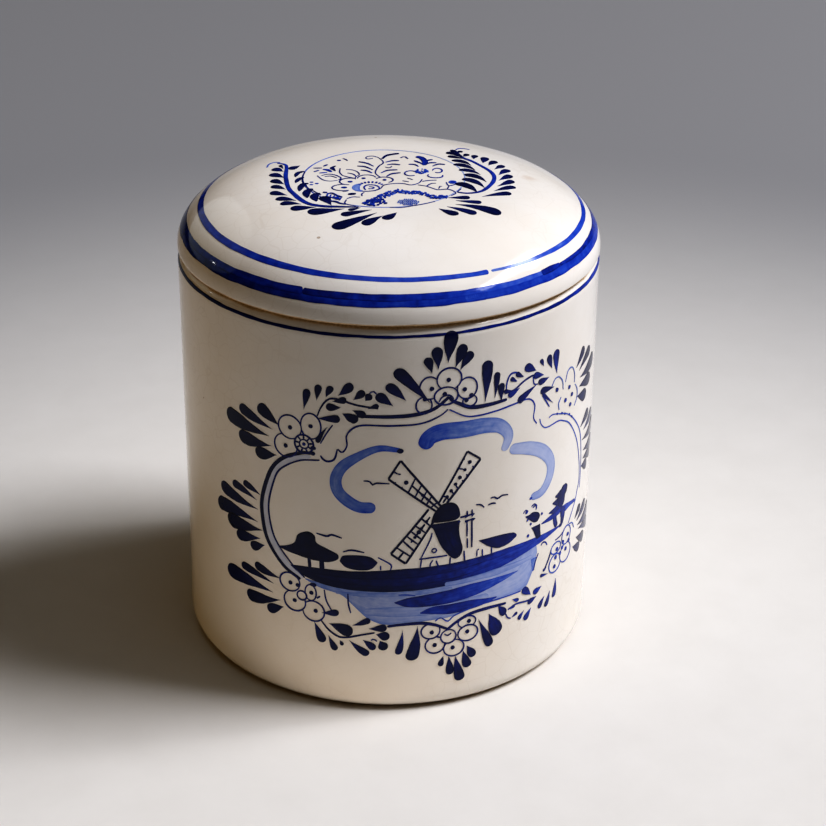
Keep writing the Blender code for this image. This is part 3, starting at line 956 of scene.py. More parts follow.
def paint_flowers(p):
    flower(p, [(-36.7, 73.9, 2.5, 2.5), (-40.4, 77.7, 3.1, 3.1), (-41.6, 72.5, 3.1, 3.1),
               (-34.9, 79.0, 2.6, 3.4)],
           [(-40.3, 77.6), (-41.6, 72.4), (-34.9, 79.0)])
    hatched_eye(p, -36.7, 73.9, 2.4)
    for u, v in ((-34.3, 73.3), (-34.5, 71.8)):
        p.dab(u, v, 0.7, 0.5)
    flower(p, [(-2.5, 88.0, 2.9, 2.3), (-1.8, 92.3, 3.0, 2.9), (-6.5, 90.4, 2.4, 2.9), (2.7, 89.3, 2.5, 2.8),
               (-7.8, 86.0, 1.9, 2.2), (3.4, 85.9, 1.8, 1.5)],
           [(-2.0, 92.1), (-6.0, 90.2), (2.0, 89.1), (-7.6, 87.6), (2.5, 86.2), (3.7, 87.3), (-2.9, 88.5)])
    p.line([(-4.2, 86.6), (-3.6, 87.7), (-2.4, 88.2), (-1.2, 87.8), (-0.7, 86.9)], 0.40)
    flower(p, [(-37.9, 31.4, 1.3, 1.3), (-35.5, 32.8, 1.5, 2.3), (-41.2, 34.5, 2.8, 2.6),
               (-39.9, 29.4, 3.0, 2.9), (-34.8, 27.6, 2.9, 2.9)],
           [(-41.0, 34.3), (-39.9, 29.5), (-34.2, 27.8), (-35.3, 32.8), (-39.0, 34.1)])
    p.line([(-33.9, 31.5), (-33.0, 32.3)], 0.40)
    p.dab(-34.8, 35.2, 0.9, 0.5)
    flower(p, [(-0.8, 21.0, 2.0, 2.0), (-5.4, 23.2, 2.4, 2.2), (-4.2, 19.0, 2.5, 2.4), (0.7, 17.4, 2.7, 2.4),
               (4.4, 21.0, 2.7, 2.3), (4.1, 24.3, 2.4, 1.7)],
           [(-5.1, 22.8), (-4.3, 19.0), (0.4, 17.5), (4.2, 21.4), (4.6, 24.4)])
    p.line([(-1.9, 21.9), (-1.0, 21.3), (0.0, 21.9)], 0.38)
    for u, v in ((30.7, 80.9), (36.5, 79.4), (38.1, 76.8), (34.8, 76.5), (37.4, 74.3)):
        p.dab(u, v, 0.55, load=0.62)
    for points in ([(28.4, 82.6), (29.6, 84.2), (31.4, 84.2), (33.0, 82.4), (33.4, 80.0)],
                   [(34.4, 81.6), (35.4, 84.2), (37.6, 84.4), (39.0, 82.2), (39.2, 79.6)],
                   [(39.6, 79.0), (41.0, 77.2), (41.2, 74.8), (39.8, 72.9)],
                   [(32.6, 78.2), (31.6, 76.8), (32.0, 75.0)]):
        p.line(points, 0.28, 0.30)
    flower(p, [(33.4, 35.2, 2.3, 1.6), (38.6, 36.6, 2.4, 2.6), (38.4, 31.6, 2.9, 2.7),
               (33.2, 30.8, 2.7, 2.6)],
           [(33.9, 34.6), (39.4, 36.4), (40.1, 34.2), (36.9, 35.2), (36.5, 33.8), (38.5, 32.5), (33.4, 32.4),
            (35.5, 32.6), (33.0, 29.9)], 0.30, 0.40)
    p.line([(40.0, 39.0), (42.0, 38.4), (43.2, 36.4)], 0.28, 0.32)


def paint_leaves(p):
    left_top = [(-43.4, 77.4, -49.4, 81.2, 3.3), (-45.3, 75.8, -55.5, 79.0, 2.9),
                (-46.3, 73.7, -60.3, 75.8, 4.4), (-45.7, 71.2, -56.0, 71.2, 3.8),
                (-44.2, 69.1, -50.6, 68.3, 3.5)]
    left_middle = [(-49.4, 56.5, -55.0, 58.3, 2.0), (-50.7, 54.7, -59.0, 56.7, 2.2),
                   (-50.3, 52.2, -63.8, 54.2, 3.4), (-50.5, 48.6, -65.5, 48.5, 4.0),
                   (-49.0, 46.7, -61.4, 45.7, 4.0), (-49.8, 44.1, -58.0, 42.3, 3.2),
                   (-48.4, 42.7, -53.0, 40.9, 2.6)]
    left_bottom = [(-43.8, 34.6, -51.8, 36.2, 2.5), (-46.0, 32.5, -56.5, 34.3, 2.5),
                   (-46.3, 29.8, -62.1, 30.7, 4.3), (-44.0, 28.3, -54.8, 26.3, 3.4),
                   (-43.1, 26.6, -48.0, 24.4, 2.8)]
    for rows in (left_top, left_middle, left_bottom):
        p.leaves(rows, 0.86)
    p.leaves([(40.0, 83.2, 44.8, 87.0, 2.6), (41.9, 81.6, 50.0, 84.6, 2.8), (42.8, 79.4, 54.5, 80.4, 3.6),
              (42.4, 77.0, 51.5, 75.8, 3.4), (41.4, 74.8, 48.0, 72.6, 3.2)], 0.82)
    p.leaves([(44.8, 64.6, 51.6, 66.4, 2.6), (47.6, 62.6, 57.4, 63.6, 3.0), (46.6, 60.0, 61.0, 59.0, 3.6),
              (48.0, 56.4, 60.0, 54.2, 3.4), (48.2, 54.0, 57.0, 51.8, 3.0), (46.8, 52.4, 52.6, 50.4, 2.8)],
             0.80)
    p.leaves([(43.6, 38.7, 47.6, 41.0, 2.2), (45.2, 37.3, 53.0, 39.4, 2.8), (46.0, 35.6, 58.5, 35.4, 3.6),
              (47.0, 34.0, 58.0, 30.6, 3.2), (45.2, 32.4, 53.0, 29.0, 3.0), (43.0, 30.7, 48.6, 28.0, 2.6)],
             0.78)
    p.leaves([(-2.2, 96.6, -1.2, 104.4, 3.6), (-4.5, 95.1, -5.0, 100.8, 2.8), (-6.0, 94.2, -7.3, 98.3, 2.2),
              (-0.4, 95.1, 1.7, 100.8, 2.8), (0.9, 94.4, 3.7, 98.6, 2.5)], 0.84)
    p.leaves([(-6.2, 86.4, -14.6, 95.5, 3.0), (-12.0, 87.4, -16.6, 91.6, 2.6), (7.4, 84.8, 7.8, 95.5, 3.0),
              (10.0, 85.2, 10.5, 91.9, 1.7), (11.9, 83.9, 11.8, 88.7, 1.9)], 0.82)
    p.leaves([(-2.0, 15.4, -2.8, 12.5, 1.4), (-0.6, 15.2, -0.2, 9.6, 2.2), (1.1, 15.0, 2.7, 7.3, 2.7),
              (3.2, 16.0, 4.7, 10.8, 2.5), (4.2, 17.2, 6.2, 13.6, 2.3)], 0.82)
    p.leaves([(-12.4, 23.9, -13.6, 17.0, 1.9), (-8.7, 25.0, -10.4, 15.1, 3.2), (7.3, 24.1, 10.9, 15.4, 2.6),
              (10.2, 25.0, 13.0, 18.2, 3.8), (12.8, 26.6, 15.0, 23.2, 2.1)], 0.76)


def paint_garlands(p):
    p.line([(-33.2, 82.0), (-32.3, 84.3), (-30.7, 86.6), (-28.5, 87.2), (-23.5, 86.0), (-18.5, 85.4)], 0.50,
           0.72)
    p.leaves([(-36.6, 83.2, -35.6, 88.7, 1.9), (-33.3, 86.1, -32.7, 90.3, 1.8),
              (-31.0, 87.3, -29.5, 90.3, 1.8), (-28.0, 88.1, -24.6, 91.4, 2.3),
              (-24.4, 87.3, -21.8, 89.8, 2.0), (-21.6, 87.3, -20.2, 89.0, 1.8),
              (-15.1, 86.1, -19.0, 89.0, 2.6), (-21.0, 85.2, -18.4, 86.2, 1.2),
              (-29.4, 86.4, -26.0, 87.2, 1.7), (-27.4, 85.0, -31.0, 84.8, 2.0),
              (-33.2, 81.4, -27.6, 82.0, 2.1), (-27.0, 83.5, -24.0, 82.0, 2.2),
              (-24.6, 84.6, -21.5, 83.2, 1.8), (-26.3, 82.5, -23.2, 82.4, 2.3),
              (-30.7, 79.5, -33.4, 75.0, 1.3)],
             0.84)
    p.line([(-20.6, 89.3), (-19.6, 89.8), (-18.4, 88.5)], 0.36)
    p.line([(-29.4, 80.2), (-31.0, 77.6), (-32.5, 74.8)], 0.36)
    p.line([(13.2, 86.2), (13.3, 88.3), (14.2, 90.3), (16.0, 90.4), (18.2, 88.7)], 0.44, 0.56)
    p.line([(12.8, 85.7), (15.7, 86.0), (18.2, 87.3), (20.7, 88.0), (22.3, 88.0)], 0.46, 0.62)
    p.line([(21.4, 87.7), (21.9, 85.6), (23.2, 85.2)], 0.38, 0.56)
    p.line([(25.0, 81.4), (27.8, 77.5)], 0.34, 0.52)
    p.leaves([(18.4, 88.6, 16.0, 90.2, 1.3), (16.4, 88.0, 14.4, 89.3, 1.1), (14.6, 86.1, 12.5, 86.2, 1.2),
              (17.3, 86.1, 13.8, 84.7, 1.7), (22.4, 89.0, 18.7, 91.2, 2.2), (25.2, 87.0, 21.6, 87.9, 1.7),
              (27.2, 85.7, 23.3, 85.5, 1.7), (22.7, 85.2, 16.8, 82.3, 2.0), (25.0, 89.4, 23.9, 91.4, 1.1),
              (28.2, 87.7, 26.8, 91.6, 1.9), (30.3, 85.6, 29.8, 92.1, 2.3), (29.4, 82.3, 24.2, 82.8, 1.8),
              (29.2, 78.1, 25.0, 82.0, 0.9), (31.0, 80.8, 30.2, 81.4, 0.8)], 0.72)
    p.line([(-32.8, 25.3), (-30.7, 22.8), (-28.2, 21.3), (-25.7, 21.5), (-22.5, 22.5), (-19.3, 23.3)], 0.50,
           0.70)
    p.leaves([(-32.6, 27.6, -28.2, 28.4, 1.9), (-30.7, 24.8, -24.8, 22.8, 3.4),
              (-34.6, 24.5, -32.3, 19.0, 2.4), (-30.9, 21.2, -29.0, 17.2, 1.8),
              (-28.0, 20.3, -27.3, 18.9, 1.0), (-25.6, 20.6, -20.8, 16.8, 2.0),
              (-24.8, 25.0, -20.4, 27.1, 1.6), (-22.2, 21.0, -19.2, 18.5, 1.9),
              (-20.7, 24.4, -16.3, 25.0, 2.0), (-18.9, 22.8, -15.6, 22.2, 2.6),
              (-18.0, 21.0, -16.6, 18.4, 2.4)], 0.82)
    p.line([(-20.2, 21.0), (-19.5, 21.4), (-18.7, 20.8)], 0.36)
    p.line([(15.9, 24.3), (18.6, 25.0), (21.9, 24.5), (24.8, 24.3)], 0.42, 0.56)
    p.line([(15.2, 23.5), (15.9, 22.0), (17.0, 21.4)], 0.38, 0.56)
    p.leaves([(15.9, 24.3, 18.2, 24.8, 0.9), (17.3, 26.8, 19.4, 25.9, 1.1), (17.3, 21.5, 19.1, 22.4, 0.9),
              (21.3, 22.0, 19.5, 20.0, 1.2), (23.9, 21.8, 21.6, 19.0, 1.7), (23.6, 25.8, 20.6, 28.6, 2.1),
              (25.7, 24.4, 22.6, 23.6, 1.6), (27.6, 26.6, 24.5, 25.8, 1.8), (29.0, 23.0, 26.8, 20.3, 1.6),
              (31.3, 23.5, 29.6, 19.5, 1.6), (33.8, 26.0, 33.1, 20.7, 1.7), (30.0, 29.2, 27.0, 29.8, 0.9),
              (29.4, 31.4, 28.0, 30.8, 0.8)], 0.66)


def paint_rim_line(p):
    """One blue line round the shoulder, drawn on a wheel with the join left of the back."""
    start, turn = -0.42, 1.03
    shares = np.linspace(start, start + turn, 73)
    circumference = 2 * math.pi * RADIUS / MM
    line = [(s * circumference,
             103.7 + 0.22 * math.sin(2 * math.pi * s + 0.7) + 0.10 * math.sin(15 * s)) for s in shares]
    p.stroke(line, [0.8, 0.95, 0.9, 0.75, 0.6, 0.65, 0.85, 0.9, 0.8, 0.9, 0.7, 0.8],
             [0.78, 0.80, 0.70, 0.58, 0.62, 0.70],
             LINE, 0.05)


# --------------------------------------------------------------------------------------------------
# The lid's picture, seen from above: (right, back) from the lid's centre

def circle(radius, start_deg, sweep_deg, steps=73, centre=(0.0, 0.0), wave=0.0):
    angles = np.radians(np.linspace(start_deg, start_deg + sweep_deg, steps))
    radii = radius + wave * np.sin(2 * angles + 1.0) + wave * 0.6 * np.sin(5 * angles)
    return [(centre[0] + r * math.cos(a), centre[1] + r * math.sin(a)) for r, a in zip(radii, angles)]


def paint_band_wide(p):
    """A broad band near the lip: a lower pass all the way round, and upper passes that stop and start."""
    p.stroke(circle(51.55, -70, 366, 97, wave=0.03), [1.05, 1.15, 1.15, 1.1, 1.15, 1.1],
             [0.50, 0.54, 0.56, 0.60, 0.66, 0.52], BROAD)
    # The first upper pass grows paler towards its end at the front right. This is partly the brushwork's own
    # tone and partly a painted sheen where the window is reflected.
    p.stroke(circle(50.85, -113, 69, 40, wave=0.03), [1.0, 1.05, 1.0, 0.85, 0.6],
             [0.68, 0.64, 0.58, 0.46, 0.42], SOLID)
    p.stroke(circle(50.80, -45, 8, 9), [0.9, 0.9, 0.5], [0.66, 0.66, 0.60], LINE)
    p.stroke(circle(50.90, -37, 284, 80, wave=0.03), [0.5, 1.0, 1.15, 1.1, 1.1, 1.0, 1.1],
             [0.62, 0.62, 0.60, 0.58, 0.62, 0.64, 0.62], SOLID)


def paint_band_thin(p):
    """A narrow band above it, drawn a little off centre, whose two ends don't quite meet."""
    p.stroke(circle(47.6, -61, 359, 97, (0.75, 0.05), 0.03), [0.5, 0.95, 1.05, 1.1, 1.15, 1.2, 1.3, 1.4, 1.5,
                                                            1.4, 1.05, 0.95],
             [0.36, 0.46, 0.54, 0.56, 0.56, 0.56, 0.58, 0.60, 0.60, 0.58, 0.52, 0.46], BROAD)


def paint_ring(p):
    p.stroke(circle(20.1, 200, 366, centre=(-1.4, 0.65), wave=0.05), [0.40, 0.30, 0.28, 0.30, 0.40],
             [0.56, 0.26, 0.18, 0.24, 0.56], LINE, 0.02)


def paint_wreath(p):
    p.stroke([(-28.4, 12.3), (-26.5, 10.8), (-25.9, 8.6), (-25.7, 1.0), (-24.7, -6.5), (-23.1, -10.7),
              (-21.1, -14.8), (-18.8, -17.4), (-15.5, -18.7), (-12.4, -18.9), (-7.3, -19.2)],
             [0.5, 1.05, 1.1, 1.15, 1.35, 1.3, 0.6], [0.56, 0.60, 0.62, 0.66, 0.72], LINE)
    p.line([(-30.9, 9.8), (-30.5, 12.3), (-29.2, 13.3), (-27.7, 12.7)], 0.5, 0.30)
    p.leaves([(-26.6, 7.5, -27.6, 10.5, 1.0), (-26.5, 5.4, -29.2, 8.3, 2.4), (-26.2, 1.0, -29.7, 4.3, 2.5),
              (-25.9, -3.6, -29.1, 0.0, 2.3), (-25.4, -7.1, -29.0, -4.2, 2.2),
              (-24.8, -11.1, -29.0, -8.2, 2.3), (-22.5, -14.8, -27.5, -12.5, 2.3),
              (-21.2, -17.1, -26.3, -15.7, 2.3), (-17.5, -19.1, -23.7, -19.2, 2.8),
              (-10.7, -20.2, -19.5, -21.9, 3.5), (-6.9, -19.6, -9.8, -21.1, 1.5)], 0.80)
    p.leaves([(-22.5, 9.3, -25.1, 6.8, 2.1), (-13.9, -18.0, -16.3, -12.4, 2.8)], 0.78)
    curled = (
        ([(-21.1, 5.1), (-22.1, 4.7), (-22.9, 3.9), (-23.4, 1.3)], 1.3),
        ([(-21.3, 1.0), (-22.5, -0.5), (-23.2, -2.9)], 1.3),
        ([(-19.9, -3.7), (-21.1, -3.8), (-21.7, -5.6), (-22.0, -8.7)], 1.6),
        ([(-18.7, -7.3), (-19.6, -8.0), (-20.2, -10.0), (-19.9, -13.2)], 2.0),
        ([(-16.8, -10.3), (-17.8, -11.0), (-18.2, -12.6), (-17.6, -15.5)], 2.1),
    )
    for points, width in curled:
        p.stroke(points, [0.4 * width, 0.9 * width, width, 0.75 * width, 0.15 * width], 0.76, LEAF)
    p.line([(-21.1, 4.8), (-21.5, 1.7), (-21.4, -2.1), (-20.8, -3.9), (-20.0, -6.6), (-18.6, -8.6),
            (-16.6, -11.5)], 0.40, 0.64)
    p.leaves([(-4.2, -20.9, -11.4, -24.0, 2.4), (-3.0, -22.7, -13.2, -30.4, 3.5),
              (-1.5, -24.5, -6.1, -29.3, 2.6)], 0.80)
    p.stroke([(16.6, 21.4), (17.6, 18.0), (18.8, 15.2), (20.7, 13.2), (23.2, 9.5), (25.2, 6.0), (26.1, 2.1),
              (25.4, -2.4), (23.5, -6.8), (21.5, -8.9), (18.9, -9.7), (16.6, -9.1)],
             [0.8, 0.9, 0.9, 1.0, 1.1, 0.9, 0.7], [0.74, 0.62, 0.58, 0.56, 0.68], LINE)
    p.leaves([(21.4, 14.8, 22.0, 18.0, 1.7), (23.6, 12.0, 24.4, 16.8, 2.3), (25.0, 10.4, 27.0, 14.4, 2.0),
              (26.4, 7.6, 28.8, 11.4, 1.9), (27.3, 3.6, 30.0, 8.4, 2.0), (27.1, -0.3, 30.4, 4.4, 2.1),
              (26.6, -4.3, 30.7, 0.7, 2.1), (25.6, -7.7, 31.0, -3.4, 2.1), (22.6, -11.7, 29.8, -7.9, 2.1)],
             0.78)
    for u, v, tip_u, tip_v, width in ((20.6, 9.6, 15.9, 13.4, 2.0), (21.5, 6.2, 16.3, 10.4, 2.3),
                                      (22.7, 3.1, 17.5, 6.5, 2.2), (24.0, -1.9, 18.8, 3.3, 2.6),
                                      (23.4, -5.9, 18.3, 0.2, 2.6), (21.5, -9.3, 16.6, -2.9, 2.8)):
        p.leaf(u, v, tip_u, tip_v, width, load=0.82, bend=-0.9)
    p.line([(17.0, 21.8), (17.9, 23.2), (19.2, 23.5), (20.6, 23.0)], 0.36, 0.46)
    p.leaves([(18.2, 16.8, 14.6, 19.4, 1.9), (17.9, 19.0, 15.8, 21.4, 1.5), (18.9, 14.6, 14.9, 16.4, 1.8),
              (18.8, 15.4, 16.6, 18.4, 1.8), (17.4, 19.4, 18.6, 20.9, 1.4), (18.8, 16.4, 20.0, 18.6, 1.6)],
             0.84)
    p.leaves([(14.2, -12.9, 19.6, -12.5, 2.0), (16.1, -14.6, 22.3, -15.4, 1.9),
              (16.0, -17.0, 26.8, -20.5, 3.3), (13.9, -18.5, 20.8, -22.0, 2.4),
              (11.9, -19.8, 16.4, -23.1, 2.6)], 0.80)
    p.leaf(1.8, -22.5, -1.3, -26.4, 2.6, load=0.80)


def paint_medallion(p):
    dark, blue = 0.74, 0.62
    thin_lines = (
        [(-12.4, 6.9), (-12.4, 3.9), (-11.7, 1.7)],
        [(-18.0, 1.9), (-17.0, -0.3), (-15.9, -1.7), (-14.4, -2.1), (-12.8, -1.6)],
        [(-16.9, 1.8), (-15.3, 2.8), (-13.5, 2.1), (-12.0, 0.0), (-12.6, -1.4)],
        [(-16.1, 1.1), (-14.5, 1.4), (-13.0, 0.0)],
        [(-10.9, 6.0), (-9.3, 5.6), (-8.0, 4.2), (-7.5, 2.2), (-8.4, 0.6), (-8.4, -0.9)],
        [(-10.5, 3.5), (-9.1, 2.7), (-8.3, 1.2)],
        [(-11.7, 1.7), (-10.3, 0.6), (-8.8, -0.1)],
        [(-2.9, 14.9), (-1.9, 12.7), (-1.6, 10.6), (-2.8, 8.0), (-3.5, 3.8), (-2.8, 1.3), (-2.2, 0.3)],
        [(-6.1, 14.5), (-5.6, 15.6), (-4.3, 15.9), (-2.9, 14.9)],
        [(-6.1, 14.5), (-5.5, 13.6), (-4.2, 14.2)],
        [(-1.1, 7.6), (-0.1, 7.0), (0.6, 8.2)],
        [(4.4, -0.2), (5.8, -1.4)], [(3.2, -2.2), (4.8, -2.9)],
        [(8.1, -1.0), (7.3, -3.5), (5.4, -5.0), (3.4, -4.1), (1.1, -4.1), (-1.3, -5.1), (-2.1, -7.2),
         (-3.5, -8.6)],
        [(8.1, -2.5), (9.8, -1.7), (11.7, -1.4)],
        [(9.0, -5.8), (10.3, -3.8), (11.5, -3.5)],
        [(12.1, -7.1), (12.5, -5.4), (12.9, -5.6)],
        [(7.0, -4.9), (9.0, -5.6), (10.6, -6.9), (11.9, -7.8), (14.5, -7.4), (16.2, -9.6), (15.1, -11.5)],
        [(14.0, -2.6), (14.7, -5.0), (16.7, -3.5), (17.5, -2.6)], [(14.7, -5.0), (14.2, -7.2)],
        [(16.6, -8.9), (17.6, -6.8)],
        [(-6.6, -12.3), (-6.7, -10.9), (-6.1, -9.9)],
        [(-10.3, -13.9), (-8.9, -12.8), (-7.1, -13.0)],
        [(-10.4, -14.5), (-10.6, -17.0), (-8.0, -18.6)],
        [(-14.2, -15.4), (-11.3, -17.2)],
        [(0.1, -19.4), (2.8, -19.4), (6.2, -18.0), (8.7, -16.8), (11.1, -15.3)],
    )
    for points in thin_lines:
        p.line(points, 0.36, 0.60)
    for points in ([(-11.9, 14.1), (-11.4, 13.8), (-10.6, 12.5)], [(2.7, 14.5), (3.8, 15.5), (4.7, 13.8)]):
        p.line(points, 0.44, blue)
    p.dab(-12.8, 12.7, 0.5, 0.36, load=blue)
    for points, widths, load in (
        ([(-19.1, 7.3), (-16.9, 7.3)], [0.3, 0.6, 0.4], 0.62),
        ([(-18.9, 4.6), (-17.6, 5.7)], [0.3, 0.5, 0.3], 0.60),
        ([(-16.7, 6.3), (-15.6, 5.9), (-14.4, 4.3)], [0.5, 1.1, 0.5], 0.58),
        ([(-17.5, 3.7), (-15.5, 4.0)], [0.3, 0.6, 0.3], 0.50),
        ([(-16.6, 8.5), (-15.6, 9.8)], [0.4, 0.8, 0.4], 0.66),
        ([(-13.5, 8.7), (-14.4, 7.3), (-13.5, 4.9)], [0.3, 1.2, 0.3], 0.74),
    ):
        p.stroke(points, widths, load, LEAF)
    for u, v in ((-19.2, -2.7), (-17.9, -3.7), (-19.2, -4.4)):
        p.dab(u, v, 0.45, 0.30, load=0.52)
    # The flower heads: petals behind a curled shell, and two sprays of narrow leaves over them.
    shell_u, shell_v = -4.6, -6.2
    p.stroke([(-7.0, -4.2), (-8.0, -5.4), (-8.2, -6.9), (-7.7, -8.4), (-6.4, -9.1)],
             [0.8, 1.7, 2.0, 1.4, 0.5], [0.32, 0.28, 0.30, 0.40], BROAD)
    petals = ((-9.8, -2.5, 2.5, 2.3, 55, 190), (-11.3, -6.6, 2.8, 2.1, 60, 240),
              (-5.6, -0.4, 2.3, 2.4, 15, 165), (-1.3, -1.6, 2.2, 2.0, -60, 215))
    for u, v, radius, tall, start, sweep in petals:
        p.ring(u, v, radius, tall, 0.38, start, sweep, load=0.60)
    for u, v, size in ((-9.7, -2.7, 0.62), (-11.1, -6.6, 0.72), (-6.4, -0.4, 0.50), (-1.2, -1.6, 0.50)):
        p.dab(u, v, size, 0.5, load=blue)
    p.line([(-11.6, -8.8), (-10.9, -9.2), (-10.1, -8.7)], 0.44, blue)
    for k in range(8):
        a = math.radians(150 - 17 * k)
        u, v = shell_u + 2.9 * math.cos(a), shell_v + 2.6 * math.sin(a)
        p.line([(u, v), (u + 0.6 * math.cos(a), v + 1.1 * math.sin(a))], 0.55, 0.58 - 0.03 * abs(k - 3),
               ends=1.0)
    p.line([(-5.8, -8.3), (-6.2, -6.7), (-5.8, -5.3), (-4.8, -4.9), (-3.5, -5.2), (-2.6, -6.3), (-2.4, -7.8)],
           0.46, 0.54)
    p.line([(-5.0, -6.2), (-4.1, -6.3), (-3.8, -7.1), (-4.5, -7.6), (-5.2, -7.4)], 0.44, 0.52)
    p.line([(-6.6, -9.2), (-5.3, -9.2), (-3.5, -8.7), (-2.3, -7.6)], 0.40, 0.60)
    p.dab(-9.1, -10.9, 1.0, 0.60, load=0.72, turn=12)
    sprays = (
        ((-4.0, 8.2), (-5.7, 10.4), (-7.8, 11.6)), ((-4.2, 5.6), (-6.1, 7.8), (-8.1, 8.4)),
        ((-4.3, 3.3), (-5.6, 4.9), (-7.2, 5.4)), ((-1.0, 11.2), (0.8, 12.3), (2.4, 12.4)),
        ((-0.6, 9.2), (0.8, 9.7), (2.7, 9.2)), ((-2.1, 3.3), (-0.5, 5.1), (2.0, 5.5)),
        ((-0.7, 0.8), (0.5, 2.6), (2.8, 3.4)), ((8.4, 9.5), (7.9, 10.5), (6.2, 12.4)),
        ((7.3, 7.9), (6.4, 9.4), (4.8, 9.6)), ((9.0, 11.6), (9.3, 12.4), (10.9, 13.4)),
        ((9.0, 9.6), (10.2, 10.8), (11.9, 11.0)), ((10.8, 8.4), (12.3, 10.0), (14.0, 9.8)),
    )
    for points in sprays:
        p.stroke(points, [0.25, 0.45, 0.65, 0.70, 0.40], [0.58, 0.66, 0.66], LEAF, 0.02)
    p.stroke([(-1.9, 13.8), (-0.6, 16.4), (2.4, 18.0)], [0.5, 1.0, 0.9], dark, LEAF)
    # The spray on the right, with its hatched flower.
    p.stroke([(6.8, 15.6), (8.2, 14.3), (9.0, 11.4), (8.7, 9.0)], [1.4, 1.6, 1.6, 1.1], 0.62, LEAF)
    for _ in range(34):
        a, r = p.random.uniform(0, 2 * math.pi), math.sqrt(p.random.random())
        p.dab(8.1 + 1.7 * r * math.cos(a), 4.4 + 1.8 * r * math.sin(a), p.random.uniform(0.22, 0.42),
              0.24, load=p.random.uniform(0.42, 0.58), turn=p.random.uniform(-40, 80))
    for u, v, radius, tall, start, sweep in ((5.3, 3.0, 1.5, 1.8, 40, 270), (12.0, 5.3, 1.2, 1.6, -120, 300),
                                             (11.4, 1.6, 1.9, 1.5, 150, 230)):
        p.ring(u, v, radius, tall, 0.34, start, sweep, load=0.52)
    p.dab(15.6, -2.6, 1.0, 1.0, load=0.46)
    p.dab(15.6, -2.7, 0.6, 0.7, load=0.58)
    # The lace-like hill below, the hatched basket on its left and the mesh under it.
    hill = smooth_path([(-5.6, -17.4), (-4.2, -15.4), (-1.9, -12.8), (0.4, -10.6), (2.6, -9.4), (4.5, -10.0),
                        (7.1, -10.2), (9.3, -11.5), (11.3, -12.9), (13.7, -12.2)])
    for place in np.arange(0.2, hill[1][-1], 0.42):
        middle = sample(hill, np.array([place]))[0]
        reach = 1.5 if place < 11 else 0.95
        for _ in range(3):
            spot = middle + np.array((p.random.uniform(-0.4, 0.4), p.random.uniform(-1, 1) * reach))
            p.dab(*spot, p.random.uniform(0.24, 0.46), 0.25, load=p.random.uniform(0.40, 0.62),
                  turn=p.random.uniform(0, 180))
    for _ in range(34):
        spot = (p.random.uniform(-6.2, -0.8), p.random.uniform(-18.4, -14.6))
        if spot[1] < -19.5 + 1.0 * (spot[0] + 6.2) + 3.4:
            p.dab(*spot, p.random.uniform(0.3, 0.5), 0.30, load=p.random.uniform(0.54, 0.66),
                  turn=p.random.uniform(0, 180))
    for k in range(11):
        for m in range(6):
            u, v = 4.5 + (k - 5) * 0.48, -16.2 + (m - 2.5) * 0.66
            if ((u - 4.5) / 2.5) ** 2 + ((v + 16.2) / 1.9) ** 2 < 1:
                p.dab(u + 0.15 * (m % 2), v, 0.24, 0.12, load=p.random.uniform(0.24, 0.42),
                      turn=45 + 90 * ((k + m) % 2))
    for points in (
        [(-16.2, -9.8), (-15.1, -10.1)], [(-15.2, -11.0), (-14.1, -10.4), (-13.4, -11.0), (-12.5, -12.2),
                                          (-11.4, -13.1)],
        [(-15.3, -12.4), (-14.3, -13.3), (-13.5, -13.3), (-12.5, -14.5), (-11.6, -13.6)],
    ):
        p.line(points, 0.34, 0.52)
    for k in range(5):
        u, v = -14.9 + 0.8 * k, -10.8 - 0.62 * k
        p.line([(u, v), (u - 0.35, v - 1.7)], 0.26, 0.44)
    p.dab(-12.7, -13.7, 0.8, 0.45, load=0.54, turn=-35)
    p.line([(-14.2, -15.6), (-12.7, -15.9), (-11.9, -17.0), (-10.4, -17.6)], 0.36, 0.58)


# --------------------------------------------------------------------------------------------------
# Build everything

jar_glaze = glaze_material("body_glaze_look", jar_bare_clay)
stain = lid_surface(np.array(35.0 * MM), np.array(5.0 * MM))
lid_glaze = glaze_material("lid_glaze_look", lid_bare_clay, tuple(stain))

for name, node, body, profile, unevenness, slot, material in (
    ("glazed_jar", "jar_body", "jar", jar_profile(), move_wall, "body_glaze", jar_glaze),
    ("glazed_lid", "lid", "lid", lid_profile(), move_lid_top, "lid_glaze", lid_glaze),
):
    shell = turned_mesh(name, profile, unevenness)
    shell.data.materials.append(material)
    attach(shell, body)
    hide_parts(node)

cobalt = cobalt_material()
for order, (name, draw) in enumerate((
    ("painted_cartouche", paint_cartouche), ("painted_windmill", paint_windmill), ("painted_sky", paint_sky),
    ("painted_landscape", paint_landscape), ("painted_water", paint_water),
    ("painted_flowers", paint_flowers), ("painted_leaves", paint_leaves),
    ("painted_garlands", paint_garlands), ("rim_line", paint_rim_line),
)):
    painting = Painting(name, wall_surface, "jar", "body_glaze", WALL_CELL, WALL_SEED + order,
                        PAINTING_LIFT * order)
    draw(painting)
    painting.build(cobalt)
for order, (name, draw) in enumerate((
    ("lid_band_wide", paint_band_wide), ("lid_band_thin", paint_band_thin),
    ("lid_medallion_ring", paint_ring), ("lid_medallion_scene", paint_medallion),
    ("lid_wreath", paint_wreath),
)):
    painting = Painting(name, lid_surface, "lid", "lid_glaze", LID_CELL, LID_SEED + order,
                        PAINTING_LIFT * order)
    draw(painting)
    painting.build(cobalt)

# --------------------------------------------------------------------------------------------------
# Floor, light and camera

